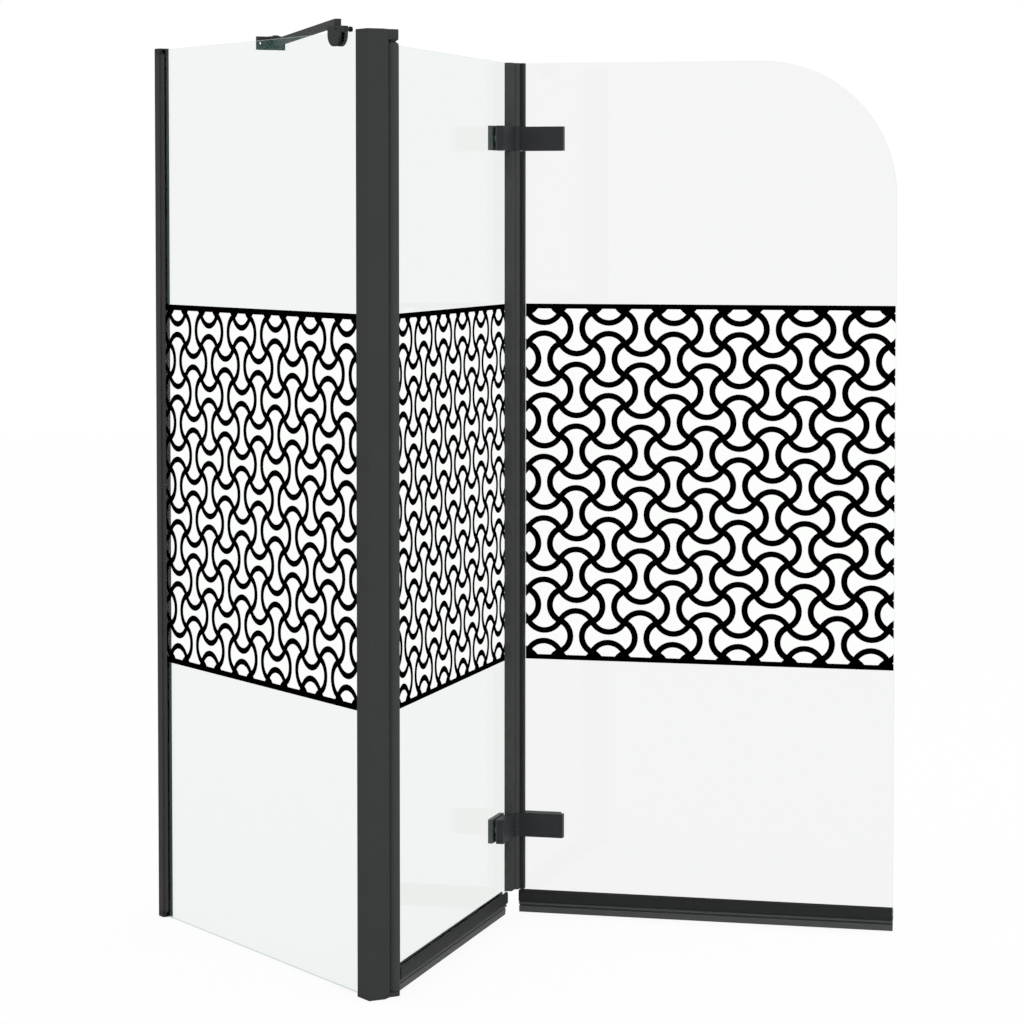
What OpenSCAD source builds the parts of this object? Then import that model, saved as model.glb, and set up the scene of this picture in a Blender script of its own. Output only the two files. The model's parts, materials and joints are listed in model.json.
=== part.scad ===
// Corner bath screen: a fixed side panel, a corner post and two folding leaves.
// Origin at the centre of the post's foot, +Z up, side panel along +Y to the wall.
// The leaves close along +X and are drawn half folded, as they stand in use.

/* [Overall] */
// Height of the whole screen
screen_h = 1300; // [1100:10:1500]
// Distance from the centre of the post to the wall
side_depth = 663; // [560:1:800]
// Thickness of every glass panel
glass_t = 5; // [4:0.5:6]
// Angle of each leaf from its closed line, as drawn
leaf_angle = 45; // [35:1:50]
// Distance of the side glass from the top and from the foot
side_glass_inset = 2; // [1:0.5:2.5]

/* [Corner post] */
// Width of the post along the closed leaves
post_w = 36; // [34:1:44]
// Depth of the post along the side panel
post_d = 34; // [32:1:40]
// Wall thickness of the post
post_wall = 2; // [1.6:0.1:2.6]
// Width of the flat face toward the bather
post_flat = 24; // [20:1:25]
// Width of the nose that faces the pivot
nose_w = 17.6; // [16:0.2:19]
// Distance from the centre of the post to the middle of the side glass
side_glass_offset = 9.5; // [9:0.1:9.8]
// Depth of the slot that takes the side glass
slot_depth = 12; // [10:0.5:13]
// Thickness of the seal beside and under the side glass
slot_seal_t = 1.5; // [1:0.1:1.7]
// Height that the seal lip stands out of the slot
seal_lip = 3; // [2:0.5:4]

/* [Wall channel] */
// Width of the channel across the glass
channel_w = 16; // [15:0.5:20]
// Depth of the channel from the wall
channel_d = 16; // [15:0.5:25]
// Wall thickness of the channel
channel_wall = 2; // [1.5:0.1:2.5]
// Height of each end cap
channel_cap_h = 9; // [6:0.5:14]
// Number of fixing holes in the channel
channel_hole_n = 4; // [3:1:6]
// Diameter of each fixing hole
channel_hole_d = 5; // [4:0.5:6]
// Distance of the first and last hole from the ends
channel_hole_end = 100; // [60:5:150]
// Gap left behind the glass for an uneven wall
wall_adjust = 2.5; // [2:0.5:4]

/* [Pivot] */
// Distance from the face of the post's nose to the pivot axis
pivot_reach = 9.6; // [9.4:0.1:12]
// Radius of the pivot barrel
barrel_r = 9; // [8.4:0.1:9.2]
// Half thickness of the jaw that grips the glass
jaw_half = 4.5; // [4.4:0.1:5]
// Reach of the jaw from the pivot axis
jaw_reach = 18; // [16:0.5:22]
// Thickness of the glazing tape inside the jaw
jaw_tape_t = 0.4; // [0.3:0.1:0.5]
// Radius of each pivot pin
pivot_pin_r = 3; // [2.5:0.1:3.4]
// Radius of the barrel's bore
barrel_bore_r = 4.6; // [4.2:0.1:4.8]
// Running clearance of pins in their bushes, on the radius
pin_clear = 0.1; // [0.05:0.01:0.1]
// Length of each pivot bush
bush_len = 20; // [15:1:30]
// Depth of the pin inside its bush
pin_in_bush = 16; // [10:1:18]
// Thickness of the plate over and under the post
bracket_plate_t = 3; // [2.5:0.5:5]
// Height of the top bracket's boss
top_boss_h = 13.4; // [11:0.2:18]
// Height of the bottom bracket's boss
bottom_boss_h = 6; // [5:0.2:9]
// Height of each chamfer in the ring groove under the top boss
ring_chamfer = 2.6; // [2:0.2:3.4]
// Thickness of the thrust washer
washer_t = 1; // [0.8:0.1:1.5]
// Running gap over and under the barrel
barrel_gap = 0.3; // [0.2:0.1:0.5]

/* [Leaves] */
// Distance from the pivot axis to the fold axis, along the inner leaf
inner_run = 592; // [480:2:700]
// Distance from the fold axis to the free edge of the outer leaf
outer_run = 570; // [460:2:700]
// Height of the underside of the leaf glass
leaf_glass_z = 22.5; // [20:0.5:30]
// Distance from the top of the screen to the top of the leaf glass
leaf_drop = 20.6; // [19.8:0.2:30]
// Radius of the rounded top corner
corner_r = 200; // [100:5:260]
// Distance of the fold axis from the middle of the glass
fold_offset = 14.3; // [13.5:0.1:16]
// Distance from the fold axis to the end of each edge profile
fold_gap = 1.5; // [1.2:0.1:2]
// Clearance between the faces of the folded leaves, each side
fold_face_clear = 0.3; // [0.2:0.1:0.6]
// Depth of the inner edge profile along the leaf
inner_edge_d = 21; // [16:0.5:26]
// Depth of the outer edge profile along the leaf
outer_edge_d = 10.4; // [10:0.2:14]
// Thickness of the edge profiles' end walls
edge_wall = 1.6; // [1.2:0.1:2]
// Radius of the fold barrel
fold_barrel_r = 6; // [5:0.1:6.4]
// Running clearance round the fold barrel
fold_barrel_clear = 0.5; // [0.4:0.1:0.8]
// Height of the underside of the edge profiles
edge_z = 38; // [37:1:60]

/* [Bottom seals] */
// Half thickness of the clip under the glass
clip_half = 6; // [5:0.1:7]
// Height of the top of the clip
clip_top = 35; // [34:0.5:36]
// Height of the underside of the clip
clip_bottom = 17; // [15:0.5:18]
// Half thickness of the fin
fin_half = 2.2; // [1.5:0.1:3]
// Height of the lower edge of the fin
fin_bottom = 1; // [0.5:0.5:4]
// Distance from the fold axis to the end of the inner seal
inner_seal_end = 14; // [10:0.5:24]
// Distance from the fold axis to the start of the outer seal
outer_seal_start = 2; // [1:0.5:8]
// Gap between the pivot jaw and the inner seal
seal_start_gap = 0.5; // [0.3:0.1:2]

/* [Glass hinges] */
// Height of each hinge
hinge_h = 36; // [30:1:44]
// Height of the middle of the lower hinge
lower_hinge_z = 136; // [100:1:200]
// Distance from the top of the screen to the middle of the upper hinge
upper_hinge_drop = 133; // [100:1:200]
// Distance from the fold axis to the far end of each hinge plate
hinge_reach = 72; // [60:1:90]
// Distance from the fold axis to the far end of the outer leaf's inside plates
outer_plate_reach = 65; // [60:1:90]
// Distance from the fold axis to the near end of each hinge plate
hinge_near = 7; // [6.8:0.1:9]
// Thickness of the rubber pads against the glass
hinge_pad_t = 1; // [0.8:0.1:1.5]
// Thickness of the inside clamp plate
clamp_plate_t = 6; // [5:0.2:8]
// Radius of the hinge knuckles
knuckle_r = 6; // [5.5:0.1:6.2]
// Share of the hinge height that the outer leaf's knuckle takes
knuckle_share = 0.68; // [0.5:0.02:0.75]
// Gap between the two knuckles
knuckle_gap = 0.4; // [0.3:0.1:0.8]
// Radius of the hinge pin
hinge_pin_r = 2.5; // [2:0.1:3]
// Running clearance of the hinge pin, on the radius
hinge_pin_clear = 0.1; // [0.05:0.01:0.1]
// Distance from the fold axis to the first clamp screw
screw_first = 28; // [24:1:34]
// Spacing of the two clamp screws
screw_pitch = 28; // [20:1:30]
// Radius of the clamp screw's shank
screw_r = 2.5; // [2:0.1:3]
// Radius of the clamp screw's head
screw_head_r = 4.8; // [4:0.1:5.5]
// Radius of the screw holes in the glass
glass_hole_r = 5; // [4:0.5:7]

/* [Printed band] */
// Height of the underside of the printed band
band_z = 386.5; // [300:0.5:500]
// Height of the printed band
band_h = 534.5; // [300:0.5:640]
// Height of the border line at the top and bottom of the band
border_h = 7; // [3:0.5:12]
// Thickness of the printed enamel layer
print_t = 0.3; // [0.2:0.05:0.5]
// Space between the printed band and the profiles beside it
print_edge = 0.5; // [0.3:0.1:4]

/* [Stabiliser] */
// Distance from the centre of the post to the glass clamp
clamp_y = 85; // [60:1:160]
// Width of the clamp along the glass
clamp_w = 34; // [26:1:40]
// Depth that the clamp grips the glass
clamp_grip = 18; // [12:1:24]
// Thickness of each clamp jaw
clamp_jaw_t = 3.6; // [3:0.2:5]
// Thickness of the clamp's rubber pads
clamp_pad_t = 1; // [0.6:0.1:1.6]
// Radius of the clamp's lower corners
clamp_corner_r = 11; // [6:0.5:12]
// Height of the clamp's head above the glass
clamp_head_h = 9.4; // [9:0.2:14]
// Side of the square support bar
bar_side = 9.5; // [8:0.5:14]
// Distance from the pivot of the bar to the wall
bracket_reach = 20; // [16:0.5:30]
// Distance from the middle of the side glass to the wall bracket
bracket_shift = 183; // [120:1:260]
// Width of the wall bracket's base
bracket_w = 47; // [40:1:60]
// Thickness of the wall bracket's base
bracket_t = 5; // [4:0.5:8]
// Thickness of each ear of the wall bracket
ear_t = 5; // [3:0.2:6]
// Spacing of the wall bracket's two fixing holes
bracket_hole_pitch = 35; // [32:1:40]
// Diameter of the wall bracket's fixing holes
bracket_hole_d = 4.5; // [4:0.5:5.5]
// Radius of the swivel screws
swivel_r = 2.5; // [2:0.1:3]

/* [Hidden] */
$fn = 48;
// A hair's breadth that carries a cut past a face
eps = 0.01;
// Seat gap between pieces of one body that aren't meant to touch
seat = 0.3;

post_x = post_w / 2;
post_y = post_d / 2;
pivot_x = post_x + pivot_reach;
side_x = -side_glass_offset;
slot_half = glass_t / 2 + slot_seal_t;
slot_bottom = post_y - slot_depth;
post_top = screen_h - bracket_plate_t;
side_glass_y0 = slot_bottom + slot_seal_t;
channel_seal_t = channel_w / 2 - channel_wall - glass_t / 2;
side_glass_y1 = side_depth - channel_wall - wall_adjust - slot_seal_t;

// Screw ports inside the post, one in the corner and one behind the nose
port_r = 4;
port_bore_r = 2;
// Depth that each port sinks into the post's wall
port_sink = 0.6;
port_side = post_wall + port_r - port_sink;
port_a = [-post_x + port_side, -post_y + port_side];
port_b = [post_x - port_side, 0];
port_head_r = 3.8;
port_head_h = 1.8;
bracket_screw_len = 18;

barrel_z0 = bottom_boss_h + washer_t + barrel_gap;
ring_z = screen_h - top_boss_h - ring_chamfer;
barrel_z1 = ring_z - barrel_gap;
// Metal left round the bore at the ring groove
ring_wall = 0.6;
ring_r = barrel_bore_r + ring_wall;
jaw_slot_half = glass_t / 2 + jaw_tape_t;
// Metal left between the bore and the slot for the glass
bore_wall = 1.4;
jaw_slot_start = barrel_bore_r + bore_wall;
bush_r = pivot_pin_r + pin_clear;
// Metal that covers the end of each pivot pin
top_pin_cover = 2;
bottom_pin_cover = 1;
// Step from the barrel's face to the rim of the thrust washer
washer_step = 1.5;

leaf_top = screen_h - leaf_drop;
inner_glass_start = jaw_slot_start + jaw_tape_t;
inner_glass_end = inner_run - fold_gap - edge_wall - seat;
outer_glass_start = fold_gap + edge_wall + seat;
fold_x = pivot_x + inner_run * cos(leaf_angle) + fold_offset * sin(leaf_angle);
fold_y = inner_run * sin(leaf_angle) - fold_offset * cos(leaf_angle);

upper_hinge_z = screen_h - upper_hinge_drop;
hinge_cut = hinge_h / 2 + seat;
block_inner_y = glass_t / 2 + hinge_pad_t;
knuckle_split = hinge_h * (0.5 - knuckle_share);
screw_x = [screw_first, screw_first + screw_pitch];
screw_depth = 8;
countersink_h = 2.8;
hinge_screw_gap = 0.3;
// Distance of each end of the hinge pin inside its knuckles
hinge_pin_inset = 0.5;

side_glass_top = screen_h - side_glass_inset;
// Gap between the top of the glass and the clamp's head
head_gap = 1;
head_z0 = side_glass_top + head_gap;
head_z1 = side_glass_top + clamp_head_h;
bar_z0 = head_z1 + seat;
bar_z1 = bar_z0 + bar_side;
jaw_x0 = side_x - glass_t / 2 - clamp_pad_t - clamp_jaw_t;
jaw_x1 = side_x + glass_t / 2 + clamp_pad_t + clamp_jaw_t;
clamp_bottom = side_glass_top - clamp_grip;
clamp_screw_z = (head_z0 + head_z1) / 2;
clamp_screw_y = clamp_y - clamp_w / 4;
clamp_screw_r = 2.2;
// Collar and knob of the clamp screw
collar_r = 3;
collar_h = 6;
knob_r = 3.8;
knob_h = 4;
wall_pivot = [side_x + bracket_shift, side_depth - bracket_reach];
clamp_pivot = [side_x, clamp_y];
bar_run = norm(wall_pivot - clamp_pivot);
bar_turn = atan2(clamp_pivot[0] - wall_pivot[0], wall_pivot[1] - clamp_pivot[1]);
// Metal round the bar's end in each ear of the wall bracket
ear_margin = 3;
ear_r = bar_side / 2 + ear_margin;
swivel_head_r = 4;
// Round head of the wall pivot
wall_head_r = 4.7;
wall_head_h = 1.2;
// Shoulders and lips of the bottom seal's clip
clip_shoulder = 2;
clip_lip = 1.2;
// Drip lip of the bottom seal's fin, and how much the fin thins toward its tip
lip_drop = 3;
lip_reach = 2;
lip_t = 1.5;
tip_thinning = 0.6;

profile_c = [0.235, 0.24, 0.238];
dark_c = [0.12, 0.12, 0.12];
seal_c = [0.3, 0.3, 0.3];
clear_c = [0.9, 0.92, 0.91, 0.6];
glass_c = [0.82, 0.92, 0.89, 0.35];
steel_c = [0.7, 0.71, 0.72];
print_c = [0.97, 0.98, 0.98];
ink_c = [0.02, 0.02, 0.02];

// Shared placements

// The inner leaf's frame: X runs along the leaf from the pivot axis, -Y faces outward
module on_inner() {
    translate([pivot_x, 0, 0]) rotate([0, 0, leaf_angle]) children();
}

// The outer leaf's frame: X runs along the leaf from the fold axis, -Y faces outward
module on_outer() {
    translate([fold_x, fold_y, 0]) rotate([0, 0, -leaf_angle]) children();
}

// The fold axis seen from the inner leaf, with X running back toward the pivot
module inner_side_of_fold() {
    on_inner() translate([inner_run, -fold_offset, 0]) mirror([1, 0, 0]) children();
}

// A slab between two corners
module slab(p, q) {
    translate(p) cube(q - p);
}

// An outline drawn in X and Z, given a thickness from y0 to y1
module upright(y0, y1) {
    translate([0, y1, 0]) rotate([90, 0, 0]) linear_extrude(y1 - y0) children();
}

// A screw shank with a countersunk head, its top face at the origin and its tip below
module flat_head(shank_r, head_r, head_h, length) {
    translate([0, 0, -length]) cylinder(r = shank_r, h = length - head_h);
    translate([0, 0, -head_h]) cylinder(r1 = shank_r, r2 = head_r, h = head_h);
}

// The hole that such a screw seats in, open at both ends
module flat_head_hole(shank_r, head_r, head_h, length) {
    flat_head(shank_r, head_r, head_h, length + eps);
    translate([0, 0, -eps / 2]) cylinder(r = head_r, h = eps);
}

// Room for the side glass where it passes a bracket plate
module glass_notch(z0, z1) {
    room = glass_t / 2 + seat;
    slab([side_x - room, side_glass_y0 - seat, z0], [side_x + room, post_y + eps, z1]);
}

// Corner post and its brackets

module post_outline() {
    polygon([
        [-post_x, -post_y], [-post_x + post_flat, -post_y], [post_x, -nose_w / 2],
        [post_x, nose_w / 2], [-post_x + post_flat, post_y], [-post_x, post_y]
    ]);
}

module post_hollow() {
    inner_x = side_x + slot_half + post_wall;
    slope = (post_y - nose_w / 2) / (post_w - post_flat);
    slant = post_wall * norm([1, slope]);
    corner = -post_x + post_flat - (slant - post_wall) / slope;
    nose_y = nose_w / 2 + post_wall * slope - slant;
    floor_y = slot_bottom - post_wall;
    polygon([
        [-post_x + post_wall, -post_y + post_wall], [corner, -post_y + post_wall],
        [post_x - post_wall, -nose_y], [post_x - post_wall, nose_y],
        [corner, post_y - post_wall], [inner_x, post_y - post_wall],
        [inner_x, floor_y], [-post_x + post_wall, floor_y]
    ]);
}

module corner_post() {
    color(profile_c) translate([0, 0, bracket_plate_t])
        linear_extrude(post_top - bracket_plate_t) difference() {
            post_outline();
            difference() {
                post_hollow();
                translate(port_a) circle(r = port_r);
                translate(port_b) circle(r = port_r);
            }
            translate([side_x - slot_half, slot_bottom]) square([2 * slot_half, slot_depth + eps]);
            translate(port_a) circle(r = port_bore_r);
            translate(port_b) circle(r = port_bore_r);
        }
}

module post_glass_seal() {
    color(clear_c) translate([side_x, 0, bracket_plate_t])
        linear_extrude(post_top - bracket_plate_t) difference() {
            translate([-slot_half, slot_bottom]) square([2 * slot_half, slot_depth + seal_lip]);
            translate([-glass_t / 2, side_glass_y0])
                square([glass_t, slot_depth + seal_lip]);
        }
}

module bracket_neck(z0, z1) {
    slab([post_x, -barrel_r, z0], [pivot_x, barrel_r, z1]);
    translate([pivot_x, 0, z0]) cylinder(r = barrel_r, h = z1 - z0);
}

// Places what follows at each screw port, facing up at the top or down at the foot
module at_ports(z, up) {
    for (p = [port_a, port_b]) translate([p[0], p[1], z]) mirror([0, 0, up ? 0 : 1]) children();
}

module top_pivot_bracket() {
    color(profile_c) difference() {
        union() {
            translate([0, 0, post_top]) linear_extrude(bracket_plate_t) post_outline();
            bracket_neck(screen_h - top_boss_h, screen_h);
            translate([pivot_x, 0, ring_z])
                cylinder(r1 = ring_r, r2 = barrel_r, h = ring_chamfer);
        }
        translate([pivot_x, 0, ring_z - eps])
            cylinder(r = pivot_pin_r, h = top_boss_h + ring_chamfer - top_pin_cover + eps);
        at_ports(screen_h, true)
            flat_head_hole(port_bore_r, port_head_r, port_head_h, bracket_plate_t);
        glass_notch(post_top - eps, screen_h + eps);
    }
}

module bottom_pivot_bracket() {
    color(profile_c) difference() {
        union() {
            linear_extrude(bracket_plate_t) post_outline();
            bracket_neck(0, bottom_boss_h);
        }
        translate([pivot_x, 0, bottom_pin_cover]) cylinder(r = pivot_pin_r, h = bottom_boss_h);
        at_ports(0, false)
            flat_head_hole(port_bore_r, port_head_r, port_head_h, bracket_plate_t);
        glass_notch(-eps, bracket_plate_t + eps);
    }
}

// Countersunk screws that hold a bracket to the post's screw ports
module bracket_screws(z, up) {
    color(dark_c) at_ports(z, up)
        flat_head(port_bore_r, port_head_r, port_head_h, bracket_screw_len);
}

module top_bracket_screws() { bracket_screws(screen_h, true); }
module bottom_bracket_screws() { bracket_screws(0, false); }

module top_pivot_pin() {
    color(steel_c) translate([pivot_x, 0, barrel_z1 - pin_in_bush])
        cylinder(r = pivot_pin_r, h = screen_h - top_pin_cover - barrel_z1 + pin_in_bush);
}

module bottom_pivot_pin() {
    color(steel_c) translate([pivot_x, 0, bottom_pin_cover])
        cylinder(r = pivot_pin_r, h = barrel_z0 + pin_in_bush - bottom_pin_cover);
}

// Wall channel

module channel_outline() {
    translate([side_x - channel_w / 2, side_depth - channel_d]) square([channel_w, channel_d]);
}

module wall_channel() {
    inside = channel_w - 2 * channel_wall;
    pitch = (screen_h - 2 * channel_hole_end) / (channel_hole_n - 1);
    color(profile_c) difference() {
        translate([0, 0, channel_cap_h]) linear_extrude(screen_h - 2 * channel_cap_h) difference() {
            channel_outline();
            translate([side_x - inside / 2, side_depth - channel_d - eps])
                square([inside, channel_d - channel_wall + eps]);
        }
        for (i = [0 : channel_hole_n - 1])
            translate([side_x, side_depth + eps, channel_hole_end + i * pitch]) rotate([90, 0, 0])
                cylinder(d = channel_hole_d, h = channel_wall + 2 * eps);
    }
}

// An end cap: a block as wide as the channel with a slot for the glass
module channel_cap(z0, z1) {
    color(dark_c) difference() {
        translate([0, 0, z0]) linear_extrude(z1 - z0) channel_outline();
        slab([side_x - glass_t / 2 - seat, side_depth - channel_d - eps, side_glass_inset],
             [side_x + glass_t / 2 + seat, side_glass_y1 + seat, side_glass_top]);
    }
}

module wall_channel_top_cap() { channel_cap(screen_h - channel_cap_h, screen_h); }
module wall_channel_bottom_cap() { channel_cap(0, channel_cap_h); }

module wall_channel_seal() {
    y0 = side_depth - channel_d;
    half = glass_t / 2 + channel_seal_t;
    color(seal_c) translate([side_x, 0, channel_cap_h])
        linear_extrude(screen_h - 2 * channel_cap_h) difference() {
            translate([-half, y0]) square([2 * half, side_glass_y1 + slot_seal_t - y0]);
            translate([-glass_t / 2, y0 - eps]) square([glass_t, side_glass_y1 - y0 + eps]);
        }
}

// Side panel

module side_glass() {
    color(glass_c)
        slab([side_x - glass_t / 2, side_glass_y0, side_glass_inset],
             [side_x + glass_t / 2, side_glass_y1, side_glass_top]);
}

side_print = [post_y + seal_lip + print_edge, side_depth - channel_d - print_edge];

module side_print_band() {
    x1 = side_x - glass_t / 2;
    color(print_c)
        slab([x1 - print_t, side_print[0], band_z + border_h],
             [x1, side_print[1], band_z + band_h - border_h]);
}

module side_print_border() {
    x1 = side_x - glass_t / 2;
    color(ink_c) for (z = [band_z, band_z + band_h - border_h])
        slab([x1 - print_t, side_print[0], z], [x1, side_print[1], z + border_h]);
}

// Stabiliser between the side glass and the wall

// Outline of a clamp jaw in Y and Z, with round lower corners
module jaw_outline(top) {
    half = clamp_w / 2;
    r = clamp_corner_r;
    intersection() {
        translate([-half, clamp_bottom]) square([clamp_w, top - clamp_bottom]);
        union() {
            translate([-half, clamp_bottom + r]) square([clamp_w, top - clamp_bottom]);
            translate([-half + r, clamp_bottom]) square([clamp_w - 2 * r, 2 * r]);
            for (s = [-1, 1]) translate([s * (half - r), clamp_bottom + r]) circle(r = r);
        }
    }
}

module jaw(x0, x1, top) {
    translate([x1, clamp_y, 0]) rotate([90, 0, -90]) linear_extrude(x1 - x0) jaw_outline(top);
}

module stabiliser_clamp() {
    color(profile_c) difference() {
        union() {
            jaw(jaw_x0, jaw_x0 + clamp_jaw_t, head_z1);
            slab([jaw_x0 + clamp_jaw_t - eps, clamp_y - clamp_w / 2, head_z0],
                 [jaw_x1 - clamp_jaw_t - seat, clamp_y + clamp_w / 2, head_z1]);
        }
        translate([jaw_x0 - eps, clamp_screw_y, clamp_screw_z]) rotate([0, 90, 0])
            cylinder(r = clamp_screw_r, h = jaw_x1 - jaw_x0);
        translate([clamp_pivot[0], clamp_pivot[1], head_z0 - eps])
            cylinder(r = swivel_r, h = clamp_head_h);
    }
}

module stabiliser_back_jaw() {
    color(profile_c) difference() {
        jaw(jaw_x1 - clamp_jaw_t, jaw_x1, head_z1);
        translate([jaw_x1 - clamp_jaw_t - eps, clamp_screw_y, clamp_screw_z])
            rotate([0, 90, 0]) cylinder(r = clamp_screw_r, h = clamp_jaw_t + 2 * eps);
    }
}

module stabiliser_pads() {
    top = side_glass_top;
    color(dark_c) {
        jaw(jaw_x0 + clamp_jaw_t, side_x - glass_t / 2, top);
        jaw(side_x + glass_t / 2, jaw_x1 - clamp_jaw_t, top);
    }
}

module stabiliser_clamp_screw() {
    run = jaw_x1 - jaw_x0;
    color(dark_c) translate([jaw_x0, clamp_screw_y, clamp_screw_z]) rotate([0, 90, 0]) {
        cylinder(r = clamp_screw_r, h = run + collar_h);
        translate([0, 0, run]) cylinder(r = collar_r, h = collar_h);
        translate([0, 0, run + collar_h]) cylinder(r = knob_r, h = knob_h);
    }
}

// The bar's frame: Y runs from the clamp's pivot to the wall's pivot
module on_bar() {
    translate([clamp_pivot[0], clamp_pivot[1], 0]) rotate([0, 0, bar_turn]) children();
}

module stabiliser_bar() {
    color(profile_c) on_bar() difference() {
        union() {
            slab([-bar_side / 2, 0, bar_z0], [bar_side / 2, bar_run, bar_z1]);
            for (y = [0, bar_run])
                translate([0, y, bar_z0]) cylinder(d = bar_side, h = bar_side);
        }
        translate([0, bar_run, bar_z0 - eps]) cylinder(r = swivel_r, h = bar_side + 2 * eps);
        translate([0, 0, bar_z1])
            flat_head_hole(swivel_r, swivel_head_r, countersink_h, bar_side);
    }
}

module stabiliser_clamp_pivot() {
    color(dark_c) translate([clamp_pivot[0], clamp_pivot[1], bar_z1])
        flat_head(swivel_r, swivel_head_r, countersink_h, bar_z1 - head_z0);
}

module stabiliser_wall_pivot() {
    color(dark_c) translate([wall_pivot[0], wall_pivot[1], 0]) {
        translate([0, 0, bar_z0 - seat - ear_t])
            cylinder(r = swivel_r, h = bar_side + 2 * seat + 2 * ear_t);
        translate([0, 0, bar_z1 + seat + ear_t]) cylinder(r = wall_head_r, h = wall_head_h);
    }
}

module stabiliser_wall_bracket() {
    z0 = bar_z0 - seat - ear_t;
    z1 = bar_z1 + seat + ear_t;
    base_y = side_depth - bracket_t;
    color(profile_c) difference() {
        union() {
            slab([wall_pivot[0] - bracket_w / 2, base_y, z0],
                 [wall_pivot[0] + bracket_w / 2, side_depth, z1]);
            for (z = [z0, z1 - ear_t]) {
                slab([wall_pivot[0] - ear_r, wall_pivot[1], z],
                     [wall_pivot[0] + ear_r, base_y + eps, z + ear_t]);
                translate([wall_pivot[0], wall_pivot[1], z]) cylinder(r = ear_r, h = ear_t);
            }
        }
        translate([wall_pivot[0], wall_pivot[1], z0 - eps])
            cylinder(r = swivel_r, h = z1 - z0 + 2 * eps);
        for (s = [-1, 1])
            translate([wall_pivot[0] + s * bracket_hole_pitch / 2, side_depth + eps, (z0 + z1) / 2])
                rotate([90, 0, 0]) cylinder(d = bracket_hole_d, h = bracket_t + 2 * eps);
    }
}

// Pivot profile at the inner leaf's fixed edge

module pivot_profile() {
    color(profile_c) on_inner() difference() {
        union() {
            translate([0, 0, barrel_z0])
                cylinder(r = barrel_r, h = barrel_z1 - ring_chamfer - barrel_z0);
            translate([0, 0, barrel_z1 - ring_chamfer])
                cylinder(r1 = barrel_r, r2 = ring_r, h = ring_chamfer);
            slab([0, -jaw_half, barrel_z0], [jaw_reach, jaw_half, leaf_top]);
        }
        slab([jaw_slot_start, -jaw_slot_half, barrel_z0 - eps],
             [jaw_reach + eps, jaw_slot_half, barrel_z1 + eps]);
        translate([0, 0, barrel_z0 - eps])
            cylinder(r = barrel_bore_r, h = barrel_z1 - barrel_z0 + 2 * eps);
    }
}

module pivot_glazing_tape() {
    color(dark_c) on_inner() translate([0, 0, leaf_glass_z])
        linear_extrude(leaf_top - leaf_glass_z) difference() {
            translate([jaw_slot_start, -jaw_slot_half])
                square([jaw_reach - jaw_slot_start, 2 * jaw_slot_half]);
            translate([inner_glass_start, -glass_t / 2]) square([jaw_reach, glass_t]);
        }
}

module pivot_bush(z0) {
    color(dark_c) on_inner() translate([0, 0, z0]) difference() {
        cylinder(r = barrel_bore_r, h = bush_len);
        translate([0, 0, -eps]) cylinder(r = bush_r, h = bush_len + 2 * eps);
    }
}

module top_pivot_bush() { pivot_bush(barrel_z1 - bush_len); }
module bottom_pivot_bush() { pivot_bush(barrel_z0); }

module pivot_thrust_washer() {
    color(dark_c) translate([pivot_x, 0, bottom_boss_h]) difference() {
        cylinder(r = barrel_r - washer_step, h = washer_t);
        translate([0, 0, -eps]) cylinder(r = bush_r, h = washer_t + 2 * eps);
    }
}

// Leaf glass, prints, edge profiles and seals

// Screw holes of one hinge, drawn in X and Z
module glass_holes(xs) {
    for (z = [lower_hinge_z, upper_hinge_z], x = xs) translate([x, z]) circle(r = glass_hole_r);
}

module inner_glass() {
    holes = [for (x = screw_x) inner_run - x];
    color(glass_c) on_inner() upright(-glass_t / 2, glass_t / 2) difference() {
        translate([inner_glass_start, leaf_glass_z])
            square([inner_glass_end - inner_glass_start, leaf_top - leaf_glass_z]);
        glass_holes(holes);
    }
}

module outer_glass() {
    y0 = fold_offset - glass_t / 2;
    color(glass_c) on_outer() upright(y0, y0 + glass_t) difference() {
        union() {
            translate([outer_glass_start, leaf_glass_z])
                square([outer_run - outer_glass_start, leaf_top - corner_r - leaf_glass_z]);
            translate([outer_glass_start, leaf_top - corner_r])
                square([outer_run - corner_r - outer_glass_start, corner_r]);
            translate([outer_run - corner_r, leaf_top - corner_r]) circle(r = corner_r, $fn = 128);
        }
        glass_holes(screw_x);
    }
}

// One leaf's printed band or its border lines, on the outward face at y
module leaf_print(x0, x1, y, z0, z1) {
    slab([x0, y - print_t, z0], [x1, y, z1]);
}

inner_print = [jaw_reach + print_edge, inner_run - fold_gap - inner_edge_d - print_edge];
outer_print = [fold_gap + outer_edge_d + print_edge, outer_run - print_edge];
outer_print_y = fold_offset - glass_t / 2;

module inner_print_band() {
    color(print_c) on_inner()
        leaf_print(inner_print[0], inner_print[1], -glass_t / 2,
                   band_z + border_h, band_z + band_h - border_h);
}

module inner_print_border() {
    color(ink_c) on_inner() for (z = [band_z, band_z + band_h - border_h])
        leaf_print(inner_print[0], inner_print[1], -glass_t / 2, z, z + border_h);
}

module outer_print_band() {
    color(print_c) on_outer()
        leaf_print(outer_print[0], outer_print[1], outer_print_y,
                   band_z + border_h, band_z + band_h - border_h);
}

module outer_print_border() {
    color(ink_c) on_outer() for (z = [band_z, band_z + band_h - border_h])
        leaf_print(outer_print[0], outer_print[1], outer_print_y, z, z + border_h);
}

// Heights of the profile lengths between the hinges
function edge_spans() = [
    [edge_z, lower_hinge_z - hinge_cut],
    [lower_hinge_z + hinge_cut, upper_hinge_z - hinge_cut],
    [upper_hinge_z + hinge_cut, leaf_top]
];

// An edge profile seen from the fold axis: a block on the glass face and a wall at its end
module edge_outline(depth) {
    glass_near = fold_offset - glass_t / 2;
    translate([fold_gap, fold_face_clear])
        square([depth, glass_near - fold_face_clear]);
    translate([fold_gap, fold_face_clear]) square([edge_wall, fold_offset + glass_t / 2]);
}

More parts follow.
